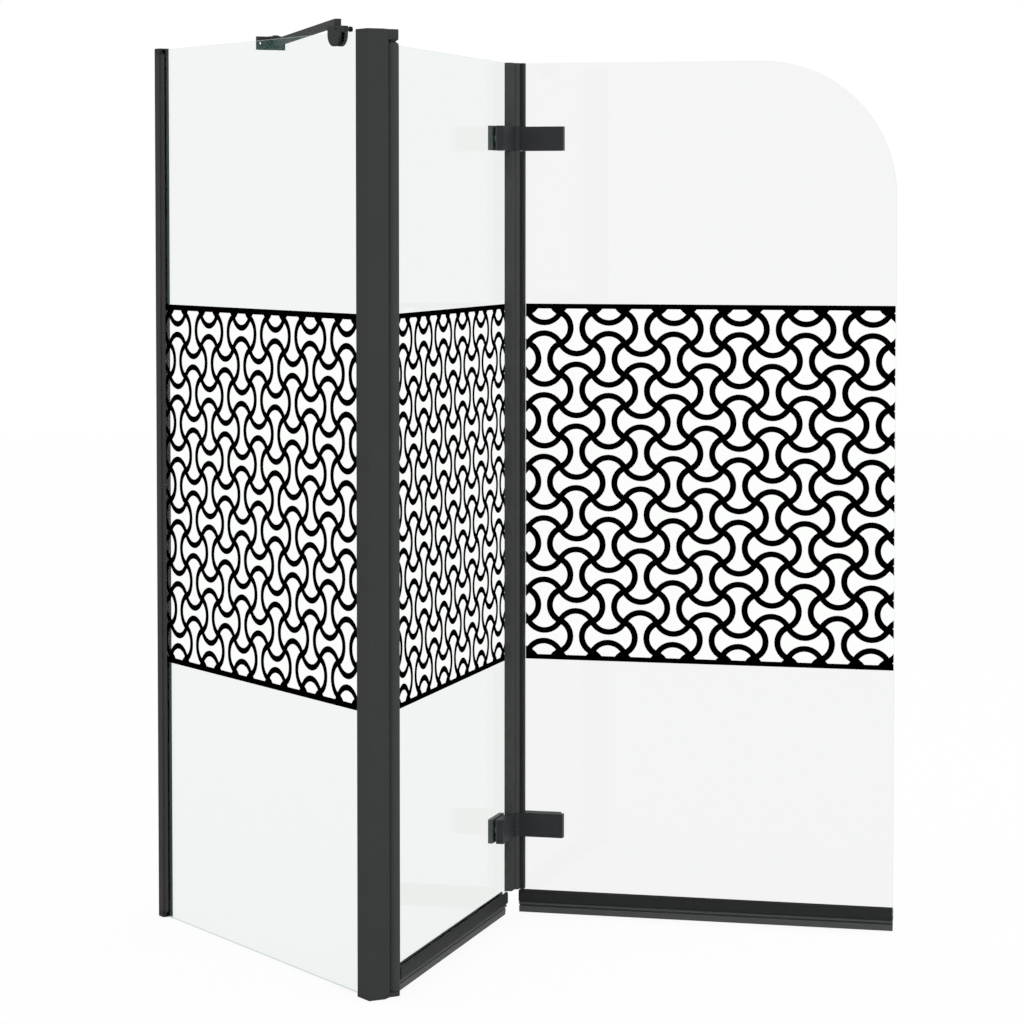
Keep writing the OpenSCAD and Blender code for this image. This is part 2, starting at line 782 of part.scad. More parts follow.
// A hollow room inside the block
module edge_hollow(depth) {
    wall = edge_wall;
    translate([fold_gap + wall, fold_face_clear + wall])
        square([depth - 2 * wall, fold_offset - glass_t / 2 - fold_face_clear - 2 * wall]);
}

module inner_edge_profile() {
    color(profile_c) inner_side_of_fold() for (s = edge_spans())
        translate([0, 0, s[0]]) linear_extrude(s[1] - s[0]) difference() {
            union() {
                edge_outline(inner_edge_d);
                circle(r = fold_barrel_r);
            }
            difference() {
                edge_hollow(inner_edge_d);
                circle(r = fold_barrel_r + edge_wall);
            }
            circle(r = fold_barrel_r - edge_wall);
        }
}

module outer_edge_profile() {
    color(dark_c) on_outer() for (s = edge_spans())
        translate([0, 0, s[0]]) linear_extrude(s[1] - s[0]) difference() {
            edge_outline(outer_edge_d);
            circle(r = fold_barrel_r + fold_barrel_clear);
        }
}

// Section of the seal clip across the glass, in Y and Z, and its length along X
module seal_length(x0, x1) {
    translate([x0, 0, 0]) rotate([90, 0, 90]) linear_extrude(x1 - x0) children();
}

module clip_section() {
    difference() {
        polygon([
            [-clip_half + clip_lip, clip_top], [-clip_half, clip_top - clip_shoulder],
            [-clip_half, clip_bottom + clip_shoulder], [-clip_half + clip_shoulder, clip_bottom],
            [clip_half - clip_shoulder, clip_bottom], [clip_half, clip_bottom + clip_shoulder],
            [clip_half, clip_top - clip_shoulder], [clip_half - clip_lip, clip_top]
        ]);
        translate([-glass_t / 2, leaf_glass_z]) square([glass_t, clip_top - leaf_glass_z + eps]);
    }
}

// The fin hangs from the clip, with a drip lip on the outward side
module fin_section() {
    lip_z = clip_bottom - lip_drop;
    lip_out = -fin_half - lip_reach;
    tip = fin_half - tip_thinning;
    polygon([
        [-fin_half, clip_bottom], [lip_out, lip_z], [lip_out, lip_z - lip_t],
        [-fin_half, lip_z - lip_t], [-tip, fin_bottom], [tip, fin_bottom],
        [fin_half, lip_z - lip_t], [fin_half, clip_bottom]
    ]);
}

inner_seal = [jaw_reach + seal_start_gap, inner_run - inner_seal_end];
outer_seal = [outer_seal_start, outer_run];

module inner_seal_clip() {
    color(dark_c) on_inner() seal_length(inner_seal[0], inner_seal[1]) clip_section();
}

module inner_seal_fin() {
    color(seal_c) on_inner() seal_length(inner_seal[0], inner_seal[1]) fin_section();
}

module outer_seal_clip() {
    color(dark_c) on_outer() translate([0, fold_offset, 0])
        seal_length(outer_seal[0], outer_seal[1]) clip_section();
}

module outer_seal_fin() {
    color(seal_c) on_outer() translate([0, fold_offset, 0])
        seal_length(outer_seal[0], outer_seal[1]) fin_section();
}

// Glass hinges, each half drawn from the fold axis with the glass on the +Y side

// The outward block with its knuckle from height k0 to k1 above the hinge's middle
module hinge_block(k0, k1) {
    inner_face = fold_offset - block_inner_y;
    difference() {
        union() {
            slab([hinge_near, fold_face_clear, -hinge_h / 2], [hinge_reach, inner_face, hinge_h / 2]);
            translate([0, 0, k0]) cylinder(r = knuckle_r, h = k1 - k0);
            slab([0, fold_face_clear, k0], [hinge_near + eps, knuckle_r, k1]);
        }
        for (x = screw_x) translate([x, inner_face + eps, 0]) rotate([90, 0, 0])
            cylinder(r = screw_r, h = screw_depth + eps);
    }
}

module pin_bore(r) {
    translate([0, 0, -hinge_h]) cylinder(r = r, h = 2 * hinge_h);
}

module hinge_plate(reach) {
    y0 = fold_offset + block_inner_y;
    difference() {
        slab([hinge_near, y0, -hinge_h / 2], [reach, y0 + clamp_plate_t, hinge_h / 2]);
        for (x = screw_x) translate([x, y0 + clamp_plate_t, 0]) rotate([-90, 0, 0])
            flat_head_hole(screw_r, screw_head_r, countersink_h, clamp_plate_t);
    }
}

// Rubber pads on both faces of the glass, as long as the metal beside them
module hinge_pads(reach) {
    outward = [fold_offset - block_inner_y, hinge_reach];
    inward = [fold_offset + glass_t / 2, reach];
    for (pad = [outward, inward])
        upright(pad[0], pad[0] + hinge_pad_t) difference() {
            translate([hinge_near, -hinge_h / 2]) square([pad[1] - hinge_near, hinge_h]);
            for (x = screw_x) translate([x, 0]) circle(r = glass_hole_r);
        }
}

module hinge_screws() {
    y1 = fold_offset + block_inner_y + clamp_plate_t;
    end_y = fold_offset - block_inner_y - screw_depth + hinge_screw_gap;
    for (x = screw_x) translate([x, y1, 0]) rotate([-90, 0, 0])
        flat_head(screw_r, screw_head_r, countersink_h, y1 - end_y);
}

// The hinge pin is driven into the inner half's knuckle and runs in the outer half's
module hinge_pin() {
    translate([0, 0, -hinge_h / 2 + hinge_pin_inset])
        cylinder(r = hinge_pin_r, h = hinge_h - 2 * hinge_pin_inset);
}

module inner_block() {
    color(dark_c) difference() {
        hinge_block(-hinge_h / 2, knuckle_split - knuckle_gap);
        pin_bore(hinge_pin_r);
    }
}

module outer_block() {
    color(dark_c) difference() {
        hinge_block(knuckle_split, hinge_h / 2);
        pin_bore(hinge_pin_r + hinge_pin_clear);
    }
}

module at_inner_hinge(z) { inner_side_of_fold() translate([0, 0, z]) children(); }
module at_outer_hinge(z) { on_outer() translate([0, 0, z]) children(); }

module upper_hinge_inner_block() { at_inner_hinge(upper_hinge_z) inner_block(); }
module upper_hinge_inner_plate() {
    color(profile_c) at_inner_hinge(upper_hinge_z) hinge_plate(hinge_reach);
}
module upper_hinge_inner_pads() {
    color(seal_c) at_inner_hinge(upper_hinge_z) hinge_pads(hinge_reach);
}
module upper_hinge_inner_screws() { color(steel_c) at_inner_hinge(upper_hinge_z) hinge_screws(); }
module upper_hinge_pin() { color(steel_c) at_inner_hinge(upper_hinge_z) hinge_pin(); }
module lower_hinge_inner_block() { at_inner_hinge(lower_hinge_z) inner_block(); }
module lower_hinge_inner_plate() {
    color(profile_c) at_inner_hinge(lower_hinge_z) hinge_plate(hinge_reach);
}
module lower_hinge_inner_pads() {
    color(seal_c) at_inner_hinge(lower_hinge_z) hinge_pads(hinge_reach);
}
module lower_hinge_inner_screws() { color(steel_c) at_inner_hinge(lower_hinge_z) hinge_screws(); }
module lower_hinge_pin() { color(steel_c) at_inner_hinge(lower_hinge_z) hinge_pin(); }
module upper_hinge_outer_block() { at_outer_hinge(upper_hinge_z) outer_block(); }
module upper_hinge_outer_plate() {
    color(profile_c) at_outer_hinge(upper_hinge_z) hinge_plate(outer_plate_reach);
}
module upper_hinge_outer_pads() {
    color(seal_c) at_outer_hinge(upper_hinge_z) hinge_pads(outer_plate_reach);
}
module upper_hinge_outer_screws() { color(steel_c) at_outer_hinge(upper_hinge_z) hinge_screws(); }
module lower_hinge_outer_block() { at_outer_hinge(lower_hinge_z) outer_block(); }
module lower_hinge_outer_plate() {
    color(profile_c) at_outer_hinge(lower_hinge_z) hinge_plate(outer_plate_reach);
}
module lower_hinge_outer_pads() {
    color(seal_c) at_outer_hinge(lower_hinge_z) hinge_pads(outer_plate_reach);
}
module lower_hinge_outer_screws() { color(steel_c) at_outer_hinge(lower_hinge_z) hinge_screws(); }

wall_channel();
wall_channel_top_cap();
wall_channel_bottom_cap();
wall_channel_seal();
side_glass();
side_print_band();
side_print_border();
corner_post();
post_glass_seal();
top_pivot_bracket();
bottom_pivot_bracket();
top_bracket_screws();
bottom_bracket_screws();
top_pivot_pin();
bottom_pivot_pin();
stabiliser_clamp();
stabiliser_back_jaw();
stabiliser_pads();
stabiliser_clamp_screw();
stabiliser_bar();
stabiliser_clamp_pivot();
stabiliser_wall_pivot();
stabiliser_wall_bracket();
pivot_profile();
top_pivot_bush();
bottom_pivot_bush();
pivot_thrust_washer();
pivot_glazing_tape();
inner_glass();
inner_print_band();
inner_print_border();
inner_edge_profile();
inner_seal_clip();
inner_seal_fin();
upper_hinge_inner_block();
upper_hinge_inner_plate();
upper_hinge_inner_pads();
upper_hinge_inner_screws();
upper_hinge_pin();
lower_hinge_inner_block();
lower_hinge_inner_plate();
lower_hinge_inner_pads();
lower_hinge_inner_screws();
lower_hinge_pin();
outer_glass();
outer_print_band();
outer_print_border();
outer_edge_profile();
outer_seal_clip();
outer_seal_fin();
upper_hinge_outer_block();
upper_hinge_outer_plate();
upper_hinge_outer_pads();
upper_hinge_outer_screws();
lower_hinge_outer_block();
lower_hinge_outer_plate();
lower_hinge_outer_pads();
lower_hinge_outer_screws();
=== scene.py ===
"""Corner bath screen with two folding leaves: its finishes, its printed bands and its stage."""

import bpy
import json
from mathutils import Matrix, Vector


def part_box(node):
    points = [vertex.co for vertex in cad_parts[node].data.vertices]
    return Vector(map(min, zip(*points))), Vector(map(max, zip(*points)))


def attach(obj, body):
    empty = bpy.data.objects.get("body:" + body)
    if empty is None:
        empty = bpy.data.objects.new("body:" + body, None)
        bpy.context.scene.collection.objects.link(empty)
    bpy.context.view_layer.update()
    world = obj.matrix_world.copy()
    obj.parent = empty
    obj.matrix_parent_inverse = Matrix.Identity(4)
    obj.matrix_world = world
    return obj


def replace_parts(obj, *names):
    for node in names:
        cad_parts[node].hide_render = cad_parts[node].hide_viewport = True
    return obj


bl_info = {
    "name": "Folding Bath Screen",
    "version": (1, 0, 0),
    "blender": (4, 5, 0),
    "location": "3D View > Sidebar > Bath Screen",
    "description": "Dresses a packed corner bath screen and sets it on a plain white stage",
    "category": "Object",
}

import json
import math
from functools import partial

import bmesh
import bpy
from mathutils import Matrix, Vector
from mathutils.geometry import delaunay_2d_cdt

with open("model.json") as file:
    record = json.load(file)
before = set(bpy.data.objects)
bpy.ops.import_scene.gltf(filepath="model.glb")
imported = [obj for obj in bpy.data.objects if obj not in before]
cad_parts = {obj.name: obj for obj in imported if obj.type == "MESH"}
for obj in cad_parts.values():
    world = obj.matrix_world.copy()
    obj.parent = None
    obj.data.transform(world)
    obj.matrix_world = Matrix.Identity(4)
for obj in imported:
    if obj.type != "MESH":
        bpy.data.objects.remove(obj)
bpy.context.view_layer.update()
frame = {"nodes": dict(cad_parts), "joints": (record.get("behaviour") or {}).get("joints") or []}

MM = 0.001
LEAF_ANGLE = math.radians(45)
PIVOT = Vector((*frame["joints"][0]["pos_m"][:2], 0))
FOLD = Vector((*frame["joints"][1]["pos_m"][:2], 0))

# Each panel's own frame: X along the panel, Y from its outward face inward, Z up
SIDE_FRAME = Matrix.Rotation(math.radians(-90), 4, "Z")
INNER_FRAME = Matrix.Translation(PIVOT) @ Matrix.Rotation(LEAF_ANGLE, 4, "Z")
OUTER_FRAME = Matrix.Translation(FOLD) @ Matrix.Rotation(-LEAF_ANGLE, 4, "Z")
LEAVES = (("inner", INNER_FRAME), ("outer", OUTER_FRAME))

# In millimetres: the middles of the hinges above the foot, and from a middle the ends of the
# hinge and the height at which its two knuckles meet
HINGES = (("upper", 1167.0), ("lower", 136.0))
HINGE_HALF = 18.0
KNUCKLE_SPLIT = -6.48
# How thick the washers are between the knuckles and against the fold barrel, in millimetres
KNUCKLE_WASHER = 0.3
BARREL_WASHER = 0.2
# How far apart the faces stand there, in millimetres
HAIR = 0.05
# An edge that turns by more than this is a corner
CORNER = math.radians(35)


# ---------------------------------------------------------------- materials

def linear(code):
    """A colour written as sRGB hex, as linear RGBA."""
    parts = [int(code[i:i + 2], 16) / 255 for i in (1, 3, 5)]
    return [c / 12.92 if c <= 0.04045 else ((c + 0.055) / 1.055) ** 2.4 for c in parts] + [1.0]


def add(tree, kind, settings=None, links=None):
    """Adds one node. Settings are its properties or input values, links are its inputs."""
    node = tree.nodes.new(kind)
    for key, value in (settings or {}).items():
        if isinstance(key, str) and hasattr(node, key) and key not in node.inputs:
            setattr(node, key, value)
        else:
            node.inputs[key].default_value = value
    for key, socket in (links or {}).items():
        tree.links.new(socket, node.inputs[key])
    return node


def finish(name):
    """A new material with an empty node tree and its output."""
    mat = bpy.data.materials.new(name)
    mat.use_nodes = True
    mat.node_tree.nodes.clear()
    return mat, mat.node_tree, add(mat.node_tree, "ShaderNodeOutputMaterial")


def powder_coat(name, colour, shine, roughness):
    """Polyester powder coat on aluminium or zinc: a fine orange peel breaks the gloss up."""
    mat, tree, out = finish(name)
    place = add(tree, "ShaderNodeTexCoord").outputs["Object"]
    # Real orange peel is 0.5 to 1 mm across, too fine for this view, so it is drawn at 1.6 mm
    peel = add(tree, "ShaderNodeTexNoise", {"Scale": 1 / (1.6 * MM), "Detail": 2.0},
               {"Vector": place})
    # Slow changes in film thickness, about 60 mm across, shift the tone a little
    flow = add(tree, "ShaderNodeTexNoise", {"Scale": 1 / (60 * MM), "Detail": 3.0},
               {"Vector": place})
    tone = add(tree, "ShaderNodeMapRange", {"To Min": 0.92, "To Max": 1.08},
               {"Value": flow.outputs["Fac"]})
    tint = add(tree, "ShaderNodeVectorMath", {"operation": "SCALE", 0: linear(colour)[:3]},
               {"Scale": tone.outputs["Result"]})
    rough = add(tree, "ShaderNodeMapRange",
                {"To Min": roughness - 0.05, "To Max": roughness + 0.05},
                {"Value": peel.outputs["Fac"]})
    bump = add(tree, "ShaderNodeBump", {"Strength": 0.08, "Distance": 0.05 * MM},
               {"Height": peel.outputs["Fac"]})
    skin = add(tree, "ShaderNodeBsdfPrincipled", {"IOR": 1.5, "Specular IOR Level": shine},
               {"Base Color": tint.outputs["Vector"], "Roughness": rough.outputs["Result"],
                "Normal": bump.outputs["Normal"]})
    tree.links.new(skin.outputs["BSDF"], out.inputs["Surface"])
    return mat


def vinyl(name, colour, shine, roughness):
    """Extruded PVC or rubber: an even colour, faintly cloudy, with a dull waxy surface."""
    mat, tree, out = finish(name)
    place = add(tree, "ShaderNodeTexCoord").outputs["Object"]
    # Clouds where the die cooled unevenly, about 12 mm across
    haze = add(tree, "ShaderNodeTexNoise", {"Scale": 1 / (12 * MM), "Detail": 3.0},
               {"Vector": place})
    tone = add(tree, "ShaderNodeMapRange", {"To Min": 0.9, "To Max": 1.1},
               {"Value": haze.outputs["Fac"]})
    tint = add(tree, "ShaderNodeVectorMath", {"operation": "SCALE", 0: linear(colour)[:3]},
               {"Scale": tone.outputs["Result"]})
    rough = add(tree, "ShaderNodeMapRange",
                {"To Min": roughness - 0.06, "To Max": roughness + 0.06},
                {"Value": haze.outputs["Fac"]})
    skin = add(tree, "ShaderNodeBsdfPrincipled", {"IOR": 1.53, "Specular IOR Level": shine},
               {"Base Color": tint.outputs["Vector"], "Roughness": rough.outputs["Result"]})
    tree.links.new(skin.outputs["BSDF"], out.inputs["Surface"])
    return mat


def clear_glass(name, tint, facing, band, coat, share):
    """Toughened clear float glass, 5 mm thick: it shows what is behind it straight, mirrors it
    faintly, and is green along its polished edges.

    Its easy-clean coating takes a little light and mirrors that share of it, in the coat's
    colour. It is masked off between the two heights in band, where the print is fired.
    Facing is square to the pane.
    """
    mat, tree, out = finish(name)
    place = add(tree, "ShaderNodeTexCoord")
    low, high = band
    height = add(tree, "ShaderNodeSeparateXYZ", {}, {"Vector": place.outputs["Object"]})
    masked = add(tree, "ShaderNodeMath", {"operation": "COMPARE", 1: (low + high) / 2 * MM,
                                          2: (high - low) / 2 * MM}, {0: height.outputs["Z"]})
    colour = add(tree, "ShaderNodeMix", {"data_type": "RGBA", 6: linear(tint),
                                         7: linear("#FEFFFE")}, {0: masked.outputs["Value"]})
    clear = add(tree, "ShaderNodeBsdfTransparent", {}, {"Color": colour.outputs[2]})
    # Roller waves of toughening, 40 mm apart, bend the mirrored picture by a hair
    wave = add(tree, "ShaderNodeTexNoise", {"Scale": 1 / (40 * MM), "Detail": 1.0},
               {"Vector": place.outputs["Object"]})
    bump = add(tree, "ShaderNodeBump", {"Strength": 0.05, "Distance": 0.1 * MM},
               {"Height": wave.outputs["Fac"]})
    mirror = add(tree, "ShaderNodeBsdfGlossy", {"Color": linear(coat), "Roughness": 0.0},
                 {"Normal": bump.outputs["Normal"]})
    amount = add(tree, "ShaderNodeMapRange", {"To Min": share, "To Max": 0.0},
                 {"Value": masked.outputs["Value"]})
    pane = add(tree, "ShaderNodeMixShader", {},
               {0: amount.outputs["Result"], 1: clear.outputs["BSDF"],
                2: mirror.outputs["BSDF"]})
    # The cut edge, ground and polished: light that has run inside the pane leaves it green
    edge = add(tree, "ShaderNodeBsdfPrincipled",
               {"Base Color": linear("#9DC4B4"), "IOR": 1.52, "Roughness": 0.12,
                "Alpha": 0.55})
    square = add(tree, "ShaderNodeVectorMath", {"operation": "DOT_PRODUCT", 1: facing},
                 {0: place.outputs["Normal"]})
    flat = add(tree, "ShaderNodeMath", {"operation": "ABSOLUTE"}, {0: square.outputs["Value"]})
    face = add(tree, "ShaderNodeMath", {"operation": "GREATER_THAN", 1: 0.7},
               {0: flat.outputs["Value"]})
    both = add(tree, "ShaderNodeMixShader", {},
               {0: face.outputs["Value"], 1: edge.outputs["BSDF"], 2: pane.outputs["Shader"]})
    tree.links.new(both.outputs["Shader"], out.inputs["Surface"])
    return mat


def enamel(name, colour, shine, roughness, cover):
    """Ceramic enamel fired on glass: a fine frit texture and little gloss.

    Cover is the share of light that it stops: black is dense, and the ground is a faint white
    bloom.
    """
    mat, tree, out = finish(name)
    place = add(tree, "ShaderNodeTexCoord").outputs["Object"]
    # Frit grain is below 0.1 mm, too fine for this view, so it is drawn at 1 mm
    frit = add(tree, "ShaderNodeTexNoise", {"Scale": 1 / (1.0 * MM), "Detail": 2.0},
               {"Vector": place})
    tone = add(tree, "ShaderNodeMapRange", {"To Min": 0.985, "To Max": 1.015},
               {"Value": frit.outputs["Fac"]})
    tint = add(tree, "ShaderNodeVectorMath", {"operation": "SCALE", 0: linear(colour)[:3]},
               {"Scale": tone.outputs["Result"]})
    rough = add(tree, "ShaderNodeMapRange",
                {"To Min": roughness - 0.04, "To Max": roughness + 0.04},
                {"Value": frit.outputs["Fac"]})
    skin = add(tree, "ShaderNodeBsdfPrincipled",
               {"IOR": 1.52, "Specular IOR Level": shine, "Alpha": cover},
               {"Base Color": tint.outputs["Vector"], "Roughness": rough.outputs["Result"]})
    tree.links.new(skin.outputs["BSDF"], out.inputs["Surface"])
    return mat


def turned_steel(name, colour, roughness):
    """Stainless or blackened steel, turned: fine tool marks round the axis spread the shine."""
    mat, tree, out = finish(name)
    place = add(tree, "ShaderNodeTexCoord").outputs["Object"]
    # Tool marks are about 0.1 mm apart, too fine for this view, so they are drawn at 0.8 mm
    marks = add(tree, "ShaderNodeTexNoise", {"Scale": 1 / (0.8 * MM), "Detail": 2.0},
                {"Vector": place})
    rough = add(tree, "ShaderNodeMapRange",
                {"To Min": roughness - 0.06, "To Max": roughness + 0.08},
                {"Value": marks.outputs["Fac"]})
    skin = add(tree, "ShaderNodeBsdfPrincipled",
               {"Base Color": linear(colour), "Metallic": 1.0},
               {"Roughness": rough.outputs["Result"]})
    tree.links.new(skin.outputs["BSDF"], out.inputs["Surface"])
    return mat


def wear(mat, *names):
    """Gives these CAD nodes or pieces one material."""
    for name in names:
        piece = bpy.data.objects[name]
        piece.data.materials.clear()
        piece.data.materials.append(mat)


def soften(*names, width_mm):
    """Breaks the sharp edges of these nodes by a small round, as a coating or a die does."""
    for name in names:
        piece = bpy.data.objects[name]
        weld = piece.modifiers.new("weld", "WELD")
        weld.merge_threshold = 0.001 * MM
        bevel = piece.modifiers.new("edge", "BEVEL")
        bevel.width = width_mm * MM
        bevel.segments = 2
        bevel.limit_method = "ANGLE"
        bevel.angle_limit = CORNER
        bevel.use_clamp_overlap = True
        piece.modifiers.new("shade", "WEIGHTED_NORMAL")


# ---------------------------------------------------------------- shared by the pieces

def points_of(node, home):
    """The vertices of a CAD node in a panel's own frame, in millimetres."""
    back = home.inverted()
    return [back @ v.co / MM for v in frame["nodes"][node].data.vertices]


def box_of(points):
    """Lowest and highest corner of the box round some points."""
    return (Vector([min(p[i] for p in points) for i in range(3)]),
            Vector([max(p[i] for p in points) for i in range(3)]))


def extent(node, home):
    """Lowest and highest corner of a CAD node in a panel's own frame, in millimetres."""
    return box_of(points_of(node, home))


def join_loops(mesh, near, far):
    """Joins two equal loops of corners by a band of faces."""
    for i, corner in enumerate(near):
        j = (i + 1) % len(near)
        mesh.faces.new([corner, near[j], far[j], far[i]])


def new_piece(name, mesh, body, mat):
    """Makes a piece of a finished mesh. It rides on a body and takes the finish that it is
    given.
    """
    bmesh.ops.recalc_face_normals(mesh, faces=mesh.faces)
    data = bpy.data.meshes.new(name)
    mesh.to_mesh(data)
    mesh.free()
    data.materials.append(mat)
    piece = bpy.data.objects.new(name, data)
    bpy.context.scene.collection.objects.link(piece)
    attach(piece, body)
    return piece


def prism(name, ends, body, mat):
    """A closed prism between two equal outlines."""
    mesh = bmesh.new()
    low, high = [[mesh.verts.new(corner) for corner in end] for end in ends]
    join_loops(mesh, low, high)
    mesh.faces.new(low[::-1])
    mesh.faces.new(high)
    return new_piece(name, mesh, body, mat)


def turned(mesh, rings, home):
    """Adds a solid of rings to a mesh: each has a radius and a height, and may be a hexagon."""
    sides, sector = 36, math.tau / 6
    loops = []
    for radius, height, *hexagon in rings:
        loop = []
        for i in range(sides):
            angle = math.tau * i / sides
            reach = radius * MM
            if hexagon:
                reach *= math.cos(sector / 2) / math.cos(angle % sector - sector / 2)
            loop.append(mesh.verts.new(home @ Vector(
                (reach * math.cos(angle), reach * math.sin(angle), height * MM))))
        loops.append(loop)
    for low, high in zip(loops, loops[1:]):
        join_loops(mesh, low, high)
    mesh.faces.new(loops[0][::-1])
    mesh.faces.new(loops[-1])


# ---------------------------------------------------------------- hinges, clamp and seals

def cove(name, body, home, span, mat):
    """A hollow fillet that fills the slot between a hinge block and the other knuckle."""
    # In millimetres from the fold axis: the edge of the block, the fillet's two depths and
    # the round that it follows
    block, outer, inner, radius = 7.2, 0.6, 4.6, 6.25
    steps = 8
    section = [(block, outer), (block, inner)]
    for i in range(steps + 1):
        y = inner + (outer - inner) * i / steps
        section.append((math.sqrt(radius ** 2 - y ** 2), y))
    prism(name, [[home @ (Vector((x, y, z)) * MM) for x, y in section] for z in span],
          body, mat)


def hinge_washers(name, middle, mat):
    """Thin washers round a hinge pin: between the knuckles, and against the fold barrel."""
    rim, edge, chamfer = 5.9, 5.7, 0.05
    mesh = bmesh.new()
    home = Matrix.Translation(FOLD + Vector((0, 0, middle * MM)))
    for foot, thick in ((-HINGE_HALF - HAIR - BARREL_WASHER, BARREL_WASHER),
                        (KNUCKLE_SPLIT - HAIR - KNUCKLE_WASHER, KNUCKLE_WASHER),
                        (HINGE_HALF + HAIR, BARREL_WASHER)):
        top = foot + thick
        turned(mesh, [(edge, foot), (rim, foot + chamfer), (rim, top - chamfer), (edge, top)],
               home)
    new_piece(name, mesh, "inner_leaf", mat)


def jaw_loop(x, low, high, ledge=None):
    """The outline of a clamp jaw at one x, in metres: straight sides and a round lower end."""
    steps = 24
    half = (high[1] - low[1]) / 2
    foot = []
    for i in range(steps + 1):
        turn = math.pi * i / steps
        foot.append(((low[1] + high[1]) / 2 - half * math.cos(turn),
                     low[2] + half * (1 - math.sin(turn))))
    if ledge:
        foot = [(low[1], ledge), *foot, (high[1], ledge)]
    return [Vector((x, y, z)) for y, z in [(low[1], high[2]), *foot, (high[1], high[2])]]


def jaw_plate(name, node, x0, x1, mat):
    """A plate of the clamp with a jaw's outline, such as the back jaw or a pad."""
    low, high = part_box(node)
    return prism(name, [jaw_loop(x, low, high) for x in (x0, x1)], "root", mat)


def front_jaw(mat):
    """The clamp's front jaw in one piece with its head, which lies over the glass."""
    low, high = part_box("stabiliser_clamp")
    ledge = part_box("side_glass")[1][2] + 1 * MM
    mesh = bmesh.new()
    front, back = [[mesh.verts.new(corner) for corner in jaw_loop(x, low, high, ledge)]
                   for x in (low[0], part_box("stabiliser_pads")[0][0])]
    head = [mesh.verts.new((high[0], y, z)) for y, z in (
        (low[1], high[2]), (low[1], ledge), (high[1], ledge), (high[1], high[2]))]
    join_loops(mesh, front, back)
    join_loops(mesh, [back[0], back[1], back[-2], back[-1]], head)
    for loop in (front, back[1:-1], head):
        mesh.faces.new(loop)
    piece = new_piece("clamp_front_jaw", mesh, "root", mat)
    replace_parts(piece, "stabiliser_clamp")


def gasket_lip(name, side, reach, mat):
    """The lip of the wall profile's gasket, which runs out along one face of the side glass."""
    low, high = extent("wall_channel_seal", SIDE_FRAME)
    glass = extent("side_glass", SIDE_FRAME)
    middle, mouth = (low.y + high.y) / 2, high.x
    root, face = high.y - middle, (glass[1].y - glass[0].y) / 2
    # The lip starts inside the mouth, leaves it over a shoulder and thins toward its edge
    inside, shoulder, drop, edge = 1.0, 1.2, 0.5, 0.6
    section = [(mouth - inside, root), (mouth, root), (mouth + shoulder, root - drop),
               (mouth + reach, face + edge), (mouth + reach, face), (mouth - inside, face)]
    prism(name, [[SIDE_FRAME @ (Vector((x, middle + side * y, z)) * MM) for x, y in section]
                 for z in (low.z, high.z)], "root", mat)


def seal_fin(node, body, home, mat):
    """A bottom seal's fin with its drip lip, and the groove under the lip that lets it bend."""
    low, high = extent(node, home)
    thick, top, foot = high.y - low.y, high.z, low.z
    groove = thick - 1.5
    # Depth and height of each corner: the lip, the groove, the fin's face, foot and back
    section = [(2.0, top), (0.4, top - 2.0), (0, top - 2.6), (0, top - 3.4), (0.3, top - 3.6),
               (groove, top - 3.8), (groove, top - 6.2), (1.8, top - 6.6), (2.6, foot),
               (thick - 0.6, foot), (thick, top - 7.2), (thick, top)]
    ends = [[home @ (Vector((x, low.y + y, z)) * MM) for y, z in section]
            for x in (low.x, high.x)]
    piece = prism(node + "_with_lip", ends, body, mat)
    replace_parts(piece, node)


# ---------------------------------------------------------------- screws

def socket_screw(length, shank, head, taper):
    """Rings of a countersunk screw from its tip up to its hexagon socket."""
    key, depth, land, break_edge = head * 0.5, 1.3, 0.25, 0.15
    return [(shank * 0.8, 0), (shank, shank * 0.3), (shank, length - taper),
            (head, length - land), (head - break_edge, length), (key, length, "hexagon"),
            (key, length - depth, "hexagon")]


def button_screw(length):
    """Rings of the screw with a low head, on which the bar turns at the wall."""
    shank, head, key, depth, round_off = 2.5, 4.7, 2.2, 0.8, 0.5
    seat = length - 1.2
    return [(shank - round_off, 0), (shank, 0.7), (shank, seat), (head, seat),
            (head, length - round_off), (head - round_off, length), (key, length, "hexagon"),
            (key, length - depth, "hexagon")]


def knob_screw(length):
    """Rings of the clamp's screw. Narrow rings stand for its knob's coarse rolled grip."""
    shank, neck, knob, groove, pitch = 2.2, 3.0, 3.8, 0.45, 0.4
    seat, grip = length - 10, length - 4
    rolled = [(knob - groove * (i % 2), grip + pitch * (i + 1)) for i in range(8)]
    return [(shank - 0.4, 0), (shank, 0.5), (shank, seat), (neck, seat), (neck, grip),
            *rolled, (knob - 0.5, length)]


def boxes_of(node, home, count):
    """The box of each of one or two like solids in a CAD node, in a frame in millimetres."""
    points = points_of(node, home)
    low, high = box_of(points)
    if count == 1:
        return [(low, high)]
    axis = 0 if high.x - low.x >= high.y - low.y else 1
    middle = (low[axis] + high[axis]) / 2
    return [box_of([p for p in points if (p[axis] > middle) == beyond])
            for beyond in (False, True)]


def fit_screws(node, body, home, toward, count, rings, mat):
    """Replaces a CAD node's plain screws by turned ones whose heads face toward, in home."""
    mesh = bmesh.new()
    toward = Vector(toward)
    turn = toward.to_track_quat("Z", "Y").to_matrix().to_4x4()
    axis = [abs(c) for c in toward].index(1)
    for low, high in boxes_of(node, home, count):
        foot = (low + high) / 2
        foot[axis] = low[axis] if toward[axis] > 0 else high[axis]
        turned(mesh, rings(high[axis] - low[axis]),
               home @ Matrix.Translation(foot * MM) @ turn)
    name = node.replace("screw", "socket_screw") + "_turned"
    piece = new_piece(name, mesh, body, mat)
    piece.data.shade_smooth()
    piece.modifiers.new("edges", "EDGE_SPLIT").split_angle = CORNER
    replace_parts(piece, node)


# ---------------------------------------------------------------- printed bands

